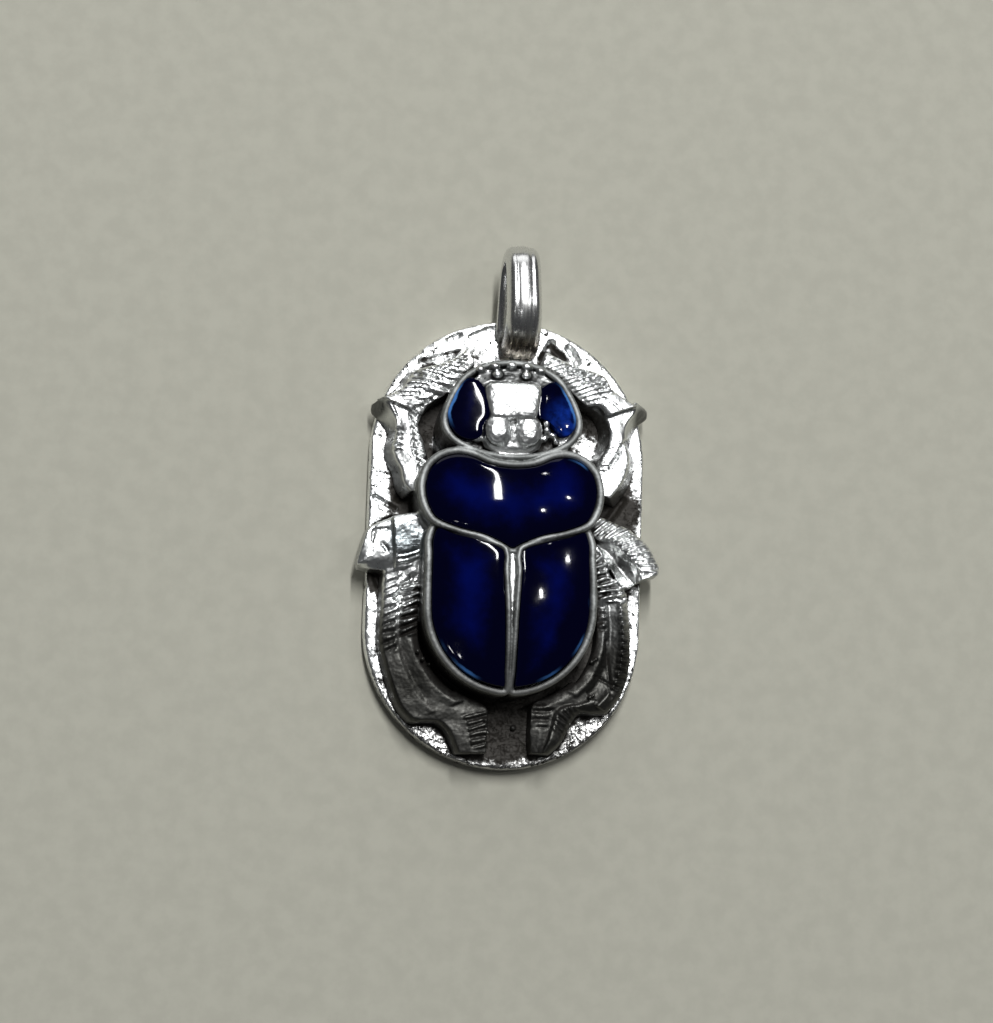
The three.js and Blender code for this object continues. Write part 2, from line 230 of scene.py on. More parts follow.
def set_coordinates(piece, points):
    piece.data.vertices.foreach_set("co", np.asarray(points, float).ravel())
    piece.data.update()


def modify(piece, kind, **settings):
    """Adds a modifier and applies it."""
    active(piece)
    modifier = piece.modifiers.new(kind.title(), kind)
    for name, value in settings.items():
        setattr(modifier, name, value)
    bpy.ops.object.modifier_apply(modifier=modifier.name)
    return piece


def join(pieces):
    """Makes one piece of several."""
    deselect()
    for piece in pieces:
        piece.select_set(True)
    bpy.context.view_layer.objects.active = pieces[0]
    bpy.ops.object.join()
    return bpy.context.object


def draw_out(piece, rise):
    """Gives a flat piece its height, upwards or, below 0, downwards."""

    def extrude():
        bpy.ops.mesh.select_all(action="SELECT")
        bpy.ops.mesh.extrude_region_move(TRANSFORM_OT_translate={"value": (0, 0, rise)})
        face_outwards()

    return edit(piece, extrude)


def prism(outline, bottom, top):
    """A circle drawn out to an outline, filled and raised."""
    piece = added(bpy.ops.mesh.primitive_circle_add, vertices=len(outline), fill_type="NGON")
    set_coordinates(piece, [(x, y, bottom) for x, y in np.asarray(outline)[:, :2]])
    return draw_out(piece, top - bottom)


def ring_of_sections(sections):
    """A torus whose rings are drawn out to the given closed sections, one after another."""
    count, size = np.shape(sections)[:2]
    piece = added(bpy.ops.mesh.primitive_torus_add, major_segments=count, minor_segments=size)
    set_coordinates(piece, sections)
    return edit(piece, face_outwards)


def select_no_face():
    bpy.ops.mesh.select_mode(type="FACE")
    bpy.ops.mesh.select_all(action="DESELECT")


def bar_of_sections(sections):
    """A ring of sections parted between its last and first section, and closed there."""
    count, size = np.shape(sections)[:2]
    last, first = (count - 1) * size, size

    def part_and_cap():
        bpy.ops.mesh.delete(type="ONLY_FACE")
        bpy.ops.mesh.select_mode(type="EDGE")
        bpy.ops.mesh.select_all(action="DESELECT")
        bpy.ops.mesh.select_non_manifold()
        bpy.ops.mesh.edge_face_add()
        face_outwards()

    piece = edit(ring_of_sections(sections), select_no_face)
    for polygon in piece.data.polygons:
        polygon.select = max(polygon.vertices) >= last and min(polygon.vertices) < first
    return edit(piece, part_and_cap)


def ball(centre, size, segments):
    """A sphere drawn out to three half sizes."""
    rings = segments // 2
    piece = added(bpy.ops.mesh.primitive_uv_sphere_add, segments=segments, ring_count=rings, radius=1)
    set_coordinates(piece, coordinates(piece) * np.array(size) + np.array(centre))
    return piece


def count_triangles(piece):
    return sum(len(polygon.vertices) - 2 for polygon in piece.data.polygons)


def run_together(piece, voxel):
    """Gives a piece one skin of even faces."""
    return modify(piece, "REMESH", mode="VOXEL", voxel_size=voxel, adaptivity=0)


def cast(piece, voxel, rounds):
    """Runs the parts of a casting into one skin and softens its edges."""
    run_together(piece, voxel)
    return modify(piece, "SMOOTH", factor=0.5, iterations=rounds)


def thinned(piece, triangles):
    """Brings a piece down to a number of triangles."""
    return modify(piece, "DECIMATE", ratio=triangles / count_triangles(piece))


def place_in_beetle(piece):
    """From the beetle's own axes to the pendant's."""
    turn = Matrix.Translation((BEETLE_X, 0, 0)) @ Matrix.Rotation(BEETLE_TURN, 4, "Z")
    piece.data.transform(turn)
    return piece


def finish(piece, name, material, slot, *nodes):
    """Brings a piece to metres, gives it its material, and ties it to the frame."""
    piece.data.transform(Matrix.Scale(MM, 4))
    piece.data.update()
    piece.name = name
    piece.data.name = name
    piece.data.materials.clear()
    piece.data.materials.append(material)
    active(piece)
    bpy.ops.object.shade_smooth()
    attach(piece, "root")
    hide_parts(*nodes)


def point_attribute(piece, name, values):
    """Stores a value on each point, for the material to read."""
    attribute = piece.data.attributes.new(name, "FLOAT", "POINT")
    attribute.data.foreach_set("value", np.asarray(values, np.float32))


def mark_hollows(piece, reach, rounds):
    """Stores how far each point lies in a hollow, and how steeply its surface stands.

    The first is 1 deep in a hollow, 0 on a proud edge and 0.5 on a flat, the second 0 where level and 1
    where upright.
    """
    active(piece)
    bpy.ops.object.duplicate()
    soft = bpy.context.object
    modify(soft, "SMOOTH", factor=0.5, iterations=rounds)
    normals = points_of(piece, "normal")
    lift = np.sum((coordinates(soft) - coordinates(piece)) * normals, 1)
    bpy.data.objects.remove(soft)
    point_attribute(piece, "hollow", np.clip(0.5 + lift / (2 * reach), 0, 1))
    point_attribute(piece, "steep", np.clip(1 - normals[:, 2], 0, 1))


# ---- materials ----


class Value:
    """A socket in a material. Arithmetic on it adds Math nodes."""

    def __init__(self, graph, socket):
        self.graph = graph
        self.socket = socket

    def _math(self, operation, *others, clamp=False):
        inputs = dict(enumerate(others))
        return self.graph.node("ShaderNodeMath", {"operation": operation, "use_clamp": clamp}, inputs)

    def __add__(self, other):
        return self._math("ADD", self, other)

    __radd__ = __add__

    def __sub__(self, other):
        return self._math("SUBTRACT", self, other)

    def __rsub__(self, other):
        return self._math("SUBTRACT", other, self)

    def __mul__(self, other):
        return self._math("MULTIPLY", self, other)

    __rmul__ = __mul__

    def clamped(self):
        return self._math("ADD", self, 0.0, clamp=True)

    def between(self, low, high):
        """0 below low, 1 above high and smooth between them."""
        settings = {"interpolation_type": "SMOOTHSTEP"}
        inputs = {"Value": self, "From Min": low, "From Max": high}
        return self.graph.node("ShaderNodeMapRange", settings, inputs)

    def most(self, other):
        return self._math("MAXIMUM", self, other)


class Graph:
    """The node tree of one material."""

    def __init__(self, name):
        self.material = bpy.data.materials.new(name)
        self.material.use_nodes = True
        self.tree = self.material.node_tree
        self.shader = self.tree.nodes["Principled BSDF"]

    def feed(self, socket, value):
        """Links a value to a socket, or sets it there."""
        if isinstance(value, Value):
            self.tree.links.new(value.socket, socket)
        else:
            socket.default_value = value

    def node(self, kind, settings=None, inputs=None, output=0):
        """Adds a node of a kind, gives it its settings and its inputs, and returns an output."""
        made = self.tree.nodes.new(kind)
        for name, value in (settings or {}).items():
            setattr(made, name, value)
        for key, value in (inputs or {}).items():
            self.feed(made.inputs[key], value)
        return Value(self, made.outputs[output])

    def place(self, scale=(1, 1, 1), turn=(0, 0, 0)):
        """Object coordinates in millimetres, stretched and turned."""
        where = self.node("ShaderNodeTexCoord", output="Object")
        inputs = {"Vector": where, "Scale": tuple(s / MM for s in scale), "Rotation": turn}
        return self.node("ShaderNodeMapping", inputs=inputs)

    def along(self, axis):
        """How far along X, Y or Z a point lies, in millimetres."""
        return self.node("ShaderNodeSeparateXYZ", inputs={"Vector": self.place()}, output=axis)

    def noise(self, scale, detail=3.0, roughness=0.55, distortion=0.0, where=None):
        """A cloud of values round 0.5."""
        inputs = {"Vector": where or self.place(), "Scale": scale, "Detail": detail}
        inputs |= {"Roughness": roughness, "Distortion": distortion}
        return self.node("ShaderNodeTexNoise", inputs=inputs)

    def near(self, x, y, reach):
        """1 at a place on the pendant, 0 from a reach away on."""
        inputs = {0: self.place(scale=(1, 1, 0)), 1: (x, y, 0)}
        gap = self.node("ShaderNodeVectorMath", {"operation": "DISTANCE"}, inputs, output=1)
        return 1.0 - gap.between(0.0, reach)

    def patch(self, x, y, reach, gain):
        """The same with its middle made broad and even by a gain."""
        return (self.near(x, y, reach) * gain).clamped()

    def attribute(self, name):
        """A value stored on the points of a piece."""
        return self.node("ShaderNodeAttribute", {"attribute_name": name}, output="Fac")

    def mix(self, factor, first, second):
        """Blends two colours."""
        first, second = (c if isinstance(c, Value) else (*c, 1) for c in (first, second))
        inputs = {0: factor, 6: first, 7: second}
        return self.node("ShaderNodeMix", {"data_type": "RGBA"}, inputs, output=2)

    def bump(self, height, distance):
        """A normal bent by a height of 0 to 1, which stands for a distance in millimetres."""
        inputs = {"Height": height, "Distance": distance * MM, "Strength": 1.0}
        return self.node("ShaderNodeBump", inputs=inputs)

    def wire(self, **links):
        """Ties values to the shader's sockets, named with _ for a space."""
        for name, value in links.items():
            self.feed(self.shader.inputs[name.replace("_", " ")], value)
        return self.material


def scratches(graph, turn, fineness=1.0):
    """Long thin marks in one direction: 1 in a scratch."""
    where = graph.place(scale=(0.25 * fineness, 9.0 * fineness, 9.0 * fineness), turn=turn)
    streaks = graph.noise(1.0, detail=2.0, where=where)
    patches = graph.noise(0.35, detail=1.0)
    return streaks.between(0.62, 0.70) * patches.between(0.42, 0.6)


# Places on the casting painted darker as shade: X, Y, reach and strength.
SHADED = [
    (-8.3, 7.7, 1.1, 1.5), (8.2, 8.1, 1.1, 1.5), (-5.6, -9.0, 2.8, 1.0), (7.0, -7.2, 2.8, 0.6),
    (6.4, -4.9, 1.8, 0.8), (6.7, -1.2, 1.3, 0.8), (-6.9, -5.6, 1.6, 0.5),
]


def cast_silver():
    """Cast silver, rubbed bright where it stands proud and dark with patina in its hollows, with
    painted shade down its rear end, on its upright walls and in the gaps near other parts.
    """
    graph = Graph("cast_silver")
    hollow = graph.attribute("hollow")
    shelter = graph.attribute("shelter")
    broad = graph.noise(0.45, detail=3.0)
    fine = graph.noise(3.6, detail=5.0, roughness=0.7) - 0.5
    dents = graph.noise(2.6, detail=1.0)
    y, z = graph.along(1), graph.along(2)
    worn = (broad - 0.5) * 0.3 + fine * 0.35
    low_down = 1.0 - z.between(3.2, 4.0)
    # Painted shade: the rear end goes dark low down, lifted off the bright hind left barbs.
    bright_barbs = graph.patch(-5.7, -3.9, 2.0, 1.6)
    tail_shade = (1.0 - y.between(-6.8, -2.2)) * low_down * (1.0 - bright_barbs * 0.8)
    face = graph.near(-0.3, 7.2, 3.0)
    steep = graph.attribute("steep").between(0.36, 0.75)

    # Patina in the hollows, and painted shade where near parts shut off the sky and down the rear end;
    # both darken the colour below.
    deep = (shelter + worn + tail_shade * 0.25).between(0.46, 0.76)
    tarnish = (hollow + worn + tail_shade * 0.05).between(0.56, 0.74).most(deep)
    rubbed = (1.0 - hollow + (broad - 0.5) * 0.3).between(0.36, 0.58)
    # Painted shade: both tones turn nearly black down the rear end.
    bright = graph.mix(tail_shade * 0.97, (0.95, 0.97, 0.965), (0.062, 0.061, 0.055))
    dull = graph.mix(tail_shade * 0.97, (0.70, 0.715, 0.71), (0.022, 0.021, 0.018))
    shade = reduce(Value.most, [graph.near(*place) * share for *place, share in SHADED]).clamped()
    behind_teeth = z.between(3.6, 4.2) * (1.0 - z.between(HEAD_TOP - 0.45, HEAD_TOP - 0.28))
    shelf = graph.patch(-0.4, 9.5, 3.0, 1.8) * behind_teeth
    thigh = graph.patch(-6.3, -0.4, 2.0, 1.5)
    clean = graph.mix(rubbed, dull, bright)
    # Painted shade on the upright walls, weaker on the face.
    clean = graph.mix(steep * (0.7 - face * 0.3), clean, (0.085, 0.084, 0.080))
    # Painted shade at the listed places.
    clean = graph.mix(shade * 0.85, clean, (0.018, 0.018, 0.016))
    # Painted shade in the recess behind the front teeth.
    clean = graph.mix(shelf * 0.85, clean, (0.05, 0.052, 0.05))
    # Painted bluish grey shade on the middle left thigh.
    clean = graph.mix(thigh * 0.8, clean, (0.20, 0.24, 0.26))

    marks = scratches(graph, (0, 0, 0.6)).most(scratches(graph, (0, 0, 2.1), 1.3))
    roughness = 0.31 + fine * 0.3 + tarnish * 0.35 + tail_shade * 0.14 + face * 0.12
    return graph.wire(
        Base_Color=graph.mix(tarnish, clean, (0.014, 0.012, 0.010)),
        Metallic=1.0 - tarnish * 0.55,
        Roughness=roughness.clamped(),
        Normal=graph.bump(dents * (1.0 + face * 1.4) + broad * 0.5 - marks * 0.06, 0.05),
    )


def wire_silver():
    """The satin silver of the cell wires, greyer than the cast parts, with painted shade towards the
    rear end and on the upright walls.
    """
    graph = Graph("wire_silver")
    hollow = graph.attribute("hollow")
    broad = graph.noise(0.6, detail=3.0)
    fine = graph.noise(5.0, detail=4.0, roughness=0.7) - 0.5
    tail_shade = 1.0 - graph.along(1).between(-10.0, -2.0)
    tarnish = (hollow + (broad - 0.5) * 0.4 + fine * 0.3).between(0.62, 0.90)
    mottle = (broad + fine * 0.6).between(0.38, 0.62)
    steep = graph.attribute("steep").between(0.50, 0.90)
    clean = graph.mix(mottle, (0.23, 0.24, 0.235), (0.43, 0.445, 0.44))
    # Painted shade towards the rear end.
    clean = graph.mix(tail_shade * 0.75, clean, (0.20, 0.20, 0.195))
    # Painted shade on the upright walls.
    grey = graph.mix(steep * 0.65, clean, (0.06, 0.059, 0.055))
    relief = graph.bump(graph.noise(3.5, detail=1.0), 0.02)
    return graph.wire(
        Base_Color=graph.mix(tarnish, grey, (0.05, 0.048, 0.042)),
        Metallic=1.0 - tarnish * 0.3,
        Roughness=(0.62 + fine * 0.2 + tarnish * 0.2).clamped(),
        Normal=relief,
    )


# Tarnish and painted shade on the plate, the shade deepest in the gap under the beetle's rear end: X,
# Y, reach and strength, below 0 where it is rubbed away.
STAINS_AND_SHADE = [
    (7.4, 2.7, 2.6, 0.75), (-6.3, 2.7, 1.8, 0.6), (-8.0, -2.9, 1.1, 0.7), (0.3, -11.0, 3.6, 0.75),
    (2.7, 12.0, 1.2, 0.5), (-5.2, 10.9, 0.7, 0.4), (0.3, -13.4, 3.0, 0.4), (-1.9, 12.1, 1.5, 0.4),
    (-4.1, 6.0, 1.2, -0.7), (5.1, 5.8, 1.8, -0.45),
]


def plate_silver():
    """Silver sheet, rough and sparkling, with black pits, tarnish and painted shade in its corners near
    the beetle, and painted shade towards its rear end.
    """
    graph = Graph("plate_silver")
    shelter = graph.attribute("shelter")
    broad = graph.noise(0.4, detail=3.0)
    grit = graph.noise(2.2, detail=6.0, roughness=0.75, distortion=0.5)
    dents = graph.noise(2.6, detail=1.0)
    swells = graph.noise(0.9, detail=1.0)
    x, y = graph.along(0), graph.along(1)
    tail_shade = 1.0 - y.between(-12.0, -6.5)
    dirt_and_shade = sum([graph.near(*place) * share for *place, share in STAINS_AND_SHADE]) + tail_shade * 0.16
    # Tarnish and painted shade: darker where the beetle shuts off the sky, and at the listed places.
    grime_and_shade = (shelter * 1.45 + (broad - 0.5) * 0.55 + (grit - 0.5) * 1.3 + dirt_and_shade).between(0.60, 0.90)
    pits = (grit + (broad - 0.5) * 0.3 + tail_shade * 0.04).between(0.585, 0.64)
    stain_and_shade = grime_and_shade.most(pits)
    # Painted shade: the clean tone greys towards the rear end.
    clean = graph.mix(tail_shade, (0.95, 0.97, 0.965), (0.42, 0.42, 0.41))
    colour = graph.mix(stain_and_shade, clean, (0.022, 0.019, 0.015))
    marks = scratches(graph, (0, 0, 0.35)).most(scratches(graph, (0, 0, 1.3), 0.7))
    # The last two terms dish the sheet a little to one side.
    height = dents * (0.07 + tail_shade * 0.08) + swells * 0.16 - marks * 0.01 - pits * 0.02
    relief = graph.bump(height + x * 0.05 - y * 0.05, 1.0)
    return graph.wire(
        Base_Color=colour,
        Metallic=1.0 - stain_and_shade * 0.6,
        Roughness=(0.30 + (grit - 0.5) * 0.3 + stain_and_shade * 0.3).clamped(),
        Normal=relief,
    )


def bail_silver():
    """Satin silver strap with light wear along it, tarnish where it meets the plate, and a painted warm
    reflection browning its feet.
    """
    graph = Graph("bail_silver")
    hollow = graph.attribute("hollow")
    broad = graph.noise(0.7, detail=2.0)
    fine = graph.noise(6.0, detail=3.0) - 0.5
    foot = 1.0 - graph.along(1).between(11.6, 12.9)
    tarnish = (hollow * 0.8 + (broad - 0.5) * 0.3 + foot * 0.2).between(0.60, 1.0)
    # Painted warm reflection: the clean tone turns brown towards the feet.
    clean = graph.mix(foot, (0.74, 0.745, 0.74), (0.34, 0.29, 0.23))
    marks = graph.noise(1.0, detail=2.0, where=graph.place(scale=(7.0, 0.35, 0.35)))
    relief = graph.bump(broad * 0.5 + marks * 0.12, 0.03)
    return graph.wire(
        Base_Color=graph.mix(tarnish, clean, (0.16, 0.15, 0.135)),
        Metallic=1.0,
        Roughness=(0.27 + fine * 0.1 + tarnish * 0.2 + (marks - 0.5) * 0.2).clamped(),
        Normal=relief,
    )


def cobalt_enamel():
    """Deep glossy cobalt enamel, paler here and there where it thins out against the silver wire."""
    graph = Graph("cobalt_enamel")
    edge = graph.attribute("edge")
    cloud = graph.noise(0.3, detail=2.0)
    streaky = graph.noise(1.6, detail=4.0, roughness=0.65)
    speck = graph.noise(3.0, detail=3.0) - 0.5
    x, y = graph.along(0), graph.along(1)
    head = y.between(4.6, 6.2)
    tail_shade = 1.0 - y.between(-7.0, -1.5)
    # Painted shade: the enamel darkens towards the rear end.
    depth = 1.0 - edge + (cloud - 0.5) * 1.5 + (streaky - 0.5) * 0.5 - tail_shade * 0.25
    body = graph.mix(depth.between(0.15, 1.3), (0.0002, 0.0003, 0.009), (0.0002, 0.0030, 0.078))
    bright = graph.patch(3.1, 6.9, 2.0, 1.4) * streaky.between(0.2, 0.7)
    rich = graph.mix(bright * 0.9, body, (0.005, 0.030, 0.27))
    side = x.between(2.9, 4.3).most((x * -1.0).between(3.0, 3.7) * head)
    off_seam = x.between(1.4, 2.6).most((x * -1.0).between(1.4, 2.6))
    outer = side.most((1.0 - y.between(-8.6, -6.4)) * off_seam)
    here_and_there = graph.noise(0.3, detail=1.0).between(0.44, 0.56)
    rim = graph.patch(-4.2, 7.9, 1.9, 1.6).most(graph.patch(3.4, 8.1, 1.9, 1.6))
    thin = (edge + (streaky - 0.5) * 0.10).between(0.905, 0.95) * (here_and_there * outer).most(rim)
    colour = graph.mix(thin * (0.5 + rim * 0.4), rich, (0.06, 0.19, 0.50))
    relief = graph.bump(cloud, 0.04)
    return graph.wire(
        Base_Color=colour,
        Roughness=(0.05 + speck * 0.03).clamped(),
        Normal=relief,
        IOR=1.5,
        Specular_IOR_Level=0.2,
    )


def studio_floor():
    """Plain pale matt floor."""
    graph = Graph("studio_floor")
    grain = graph.noise(0.8, detail=4.0)
    colour = graph.mix(grain.between(0.3, 0.7), (0.435, 0.43, 0.365), (0.47, 0.465, 0.395))
    return graph.wire(Base_Color=colour, Roughness=0.95)


# ---- the plate ----

SWELL_LIMIT = 0.03
# Points below this height belong to the flat underside.
UNDERSIDE_DEPTH = 0.06
# Nicks in the plate's rim: X, Y and half width.
NICKS = [(-5.75, 11.6, 0.22), (5.0, 12.75, 0.3), (7.95, 10.0, 0.22), (-8.5, -3.0, 0.2)]


def plate_outline(steps):
    """Two half rounds and the straight sides between them."""
    top = arc(PLATE_ARC_Y, PLATE_RADIUS, 0, 180, steps)
    bottom = arc(-PLATE_ARC_Y, PLATE_RADIUS, 180, 360, steps)
    return np.array([*top, *bottom])


def make_plate(casting):
    """The oblong plate: a thick sheet with softened, uneven edges, nicks and engraved lines."""
    outline = evenly(plate_outline(60), 260, closed=True)
    piece = prism(outline, 0, PLATE_TOP)
    for x, y, size in NICKS:
        tool = ball((x, y, PLATE_TOP), (size, size, 2.0), 10)
        modify(piece, "BOOLEAN", operation="DIFFERENCE", object=tool, solver="EXACT")
        bpy.data.objects.remove(tool)
    cast(piece, SLAB_VOXEL, 4)
    points = coordinates(piece)
    rng = np.random.default_rng(SEED)
    top = points[:, 2] > PLATE_TOP * 0.7
    swell = waves(points, rng, 7, 0.9, 0.02)
    swell += waves(points, rng, 9, 3.2, 0.012)
    swell += waves(points, rng, 9, 8.0, 0.008)
    points[:, 2] += np.where(top, np.minimum(swell, SWELL_LIMIT), 0)
    for start, end, width, depth in ENGRAVED:
        depths = depth * np.clip(1 - line_distance(points, start, end) / width, 0, 1)
        points[:, 2] -= np.where(top, depths, 0)
    points[:, 2] = np.where(points[:, 2] < UNDERSIDE_DEPTH, 0, points[:, 2])
    set_coordinates(piece, points)
    edit(piece, select_no_face)
    for polygon in piece.data.polygons:
        polygon.select = polygon.normal.z < -0.999
    edit(piece, lambda: bpy.ops.mesh.dissolve_limited(angle_limit=0.01))
    mark_shelter(piece, [piece, casting], 20, 4.0)
    finish(piece, "oblong_plate", plate_silver(), "plate_silver", "base_plate")


# Lines and pits cut in the plate: from, to, half width and depth.
ENGRAVED = [
    ((-5.6, 11.0), (-3.1, 11.75), 0.16, 0.25), ((-2.6, 12.7), (-1.2, 13.4), 0.14, 0.2),
    ((-3.9, 12.5), (-3.2, 12.8), 0.2, 0.25), ((-8.1, 2.4), (-6.8, 1.7), 0.16, 0.25),
    ((-8.1, 0.6), (-6.9, 1.2), 0.16, 0.25), ((-6.6, 9.5), (-6.4, 9.5), 0.18, 0.2),
    ((2.6, 12.2), (3.4, 11.6), 0.3, 0.3), ((3.6, 12.4), (4.2, 11.5), 0.24, 0.3),
    ((1.9, 11.6), (2.5, 12.6), 0.26, 0.3), ((-8.0, -2.2), (-7.6, -3.0), 0.3, 0.3),
    ((6.2, 1.6), (7.2, 3.0), 0.35, 0.3), ((-6.6, 2.4), (-6.0, 3.4), 0.35, 0.3),
]


def line_distance(points, start, end):
    """How far each point lies from a stretch of line, seen from above."""
    dx, dy = end[0] - start[0], end[1] - start[1]
    px, py = points[:, 0] - start[0], points[:, 1] - start[1]
    share = np.clip((px * dx + py * dy) / (dx * dx + dy * dy), 0, 1)
    return np.hypot(px - share * dx, py - share * dy)


def waves(points, rng, count, pace, height):
    """A fixed pattern of gentle swells over X and Y."""
    total = np.zeros(len(points))
    for _ in range(count):
        heading = rng.uniform(0, 2 * math.pi)
        speed = pace * rng.uniform(0.6, 1.6)
        phase = rng.uniform(0, 2 * math.pi)
        way = points[:, 0] * math.cos(heading) + points[:, 1] * math.sin(heading)
        total += np.sin(speed * way + phase)
    return total * height / math.sqrt(count)


GOLDEN_ANGLE = math.pi * (3 - math.sqrt(5))
# How far off the surface a look at the sky starts.
SKIN_GAP = 0.03


def mark_shelter(piece, others, rays, reach):
    """Stores how much of the sky over each point is shut off by near parts: 0 open, 1 shut in."""
    verts, faces = [], []
    for other in others:
        faces += [tuple(v + len(verts) for v in p.vertices) for p in other.data.polygons]
        verts += [v.co.copy() for v in other.data.vertices]
    tree = BVHTree.FromPolygons(verts, faces)
    fan = []
    for index in range(rays):
        across = math.sqrt((index + 0.5) / rays)
        angle = GOLDEN_ANGLE * index
        up = math.sqrt(1 - across**2)
        fan.append(Vector((across * math.cos(angle), across * math.sin(angle), up)))
    shut = []
    for vertex in piece.data.vertices:
        turn = vertex.normal.to_track_quat("Z", "Y")
        start = vertex.co + vertex.normal * SKIN_GAP
        hits = sum(tree.ray_cast(start, turn @ ray, reach)[0] is not None for ray in fan)
        shut.append(hits / rays)
    point_attribute(piece, "shelter", softened(piece, np.array(shut), 3))


def softened(piece, values, rounds):
    """Evens out values stored on points with their neighbours'."""
    edges = np.empty(len(piece.data.edges) * 2, int)
    piece.data.edges.foreach_get("vertices", edges)
    a, b = edges.reshape(-1, 2).T
    degree = np.bincount(edges, minlength=len(values))
    for _ in range(rounds):
        around = np.bincount(a, values[b], len(values)) + np.bincount(b, values[a], len(values))
        values = 0.5 * values + 0.5 * around / np.maximum(degree, 1)
    return values


# ---- the beetle's back ----

# Wires round the cells, by their middle line: X, Y and width.
HEAD_WIRE = both_sides([
    (0, 10.42, 0.40), (1.45, 10.24, 0.40), (2.35, 9.84, 0.40), (2.97, 9.34, 0.40), (3.46, 8.6, 0.42),
    (3.88, 7.72, 0.42), (4.1, 6.9, 0.44), (4.02, 6.3, 0.44), (3.68, 5.75, 0.42), (2.9, 5.2, 0.40),
    (1.5, 4.72, 0.38), (0, 4.56, 0.38),
])
THORAX_WIRE = both_sides([
    (0, 4.06, 0.42), (1.3, 4.24, 0.42), (2.5, 4.76, 0.42), (3.45, 4.9, 0.46), (4.4, 4.6, 0.46),
    (5.12, 3.9, 0.46), (5.42, 2.95, 0.46), (5.4, 2.1, 0.46), (5.18, 1.35, 0.46), (4.7, 0.62, 0.42),
    (3.3, 0.02, 0.34), (1.75, -0.38, 0.34), (0.7, -0.84, 0.36), (0, -1.17, 0.36),
])
WING_WIRE = [
    (0.42, -1.1, 0.34), (1.75, -0.5, 0.3), (3.3, -0.06, 0.34), (4.55, 0.38, 0.4), (4.94, -0.4, 0.44),
    (4.96, -1.6, 0.44), (5.0, -3.0, 0.44), *arc(-4.5, 5.0, 0, -84, 9, 0.46),
    (0.15, -9.44, 0.40), (0.16, -8.2, 0.33), (0.18, -6.6, 0.33), (0.26, -4.4, 0.33), (0.38, -2.4, 0.34),
]

WIRE_DEPTH = 0.75
WIRE_ROUND = 0.22


def laid_along(line, shape):
    """A ring with a section at each point of a line: a shape's places out from it and heights."""
    sections = []
    for (x, y, width), (nx, ny) in zip(line, normals_2d(line)):
        sections.append([(x + nx * out, y + ny * out, z) for out, z in shape(x, y, width / 2)])
    return ring_of_sections(sections)


def wire(knots, dome, count):
    """A closed wire laid over a dome: round on top, with walls going down below the dome."""
    turns = np.radians(np.linspace(0, 180, 9))

    def shape(x, y, half):
        top = dome_z(dome, x, y)
        crown = [(half * math.cos(a), top + (WIRE_ROUND * math.sin(a) - WIRE_ROUND)) for a in turns]
        return [(-half, top - WIRE_DEPTH), (half, top - WIRE_DEPTH), *crown]

    return laid_along(loop(knots, count), shape)


def cell_line(knots, count, clearance):
    """The inner edge of a wire: the outline of its enamel."""
    line = loop(knots, count)
    return grown(line, -(line[:, 2] / 2 - clearance))


def core(knots, dome, count, floor_drop):
    """The body under a wire, up to the floor of its cell."""
    line = loop(knots, count)
    outline = grown(line, line[:, 2] / 2 - 0.05)
    return prism(outline, CASTING_FLOOR, dome[0] - floor_drop)


def skirt(knots, dome, count):
    """The wall that carries a wire, from the plate up to just under the wire's round."""

    def shape(x, y, half):
        wide = half - 0.04
        foot = wide - 0.12
        top = dome_z(dome, x, y) - 0.3
        return [(-foot, CASTING_FLOOR), (foot, CASTING_FLOOR), (wide, top), (-wide, top)]

    return laid_along(loop(knots, count), shape)


def tilt(piece, floor, form):
    """Adds a form, a height over X and Y, to the points of a piece that lie above a floor."""
    points = coordinates(piece)
    points[:, 2] += np.where(points[:, 2] > floor, form(points[:, 0], points[:, 1]), 0)
    set_coordinates(piece, points)


def block_top(x, y):
    """A top that leans to the light, is dented, and falls away to its two sides."""
    dents = waves(np.column_stack([x, y]), np.random.default_rng(SEED), 8, 5.0, 0.035)
    return 0.03 + LIT_LEAN[0] * x + 0.7 * LIT_LEAN[1] * (y - 8.0) - 0.014 * x**4 + dents


FACE_FLOOR = 3.2
FACE_MIDDLE = 4


def face_of_the_beetle():
    """The bright block between the cheeks, the shelf in front of it and the round parts."""
    block = prism([
        (-1.40, 6.9), (1.45, 6.9), (1.55, 7.5), (1.68, 8.2), (1.8, 8.85), (1.3, 9.15), (-1.3, 9.15),
        (-1.82, 8.9), (-1.65, 8.1), (-1.48, 7.4),
    ], FACE_FLOOR, HEAD_TOP)
    modify(block, "BEVEL", width=0.32, segments=4, limit_method="ANGLE")
    run_together(block, SLAB_VOXEL)
    tilt(block, FACE_MIDDLE, block_top)
    shelf = prism([
        (-2.4, 9.3), (-1.6, 8.8), (1.6, 8.8), (2.5, 9.3), (1.7, 9.9), (0, 10.05), (-1.7, 9.9),
    ], FACE_FLOOR, HEAD_TOP)
    tilt(shelf, FACE_MIDDLE, lambda x, y: 0.18 * (y - 8.8) - 0.70)
    return [block, shelf, *(ball((x, y, HEAD_TOP + z), size, 12) for x, y, z, *size in FACE_BALLS)]


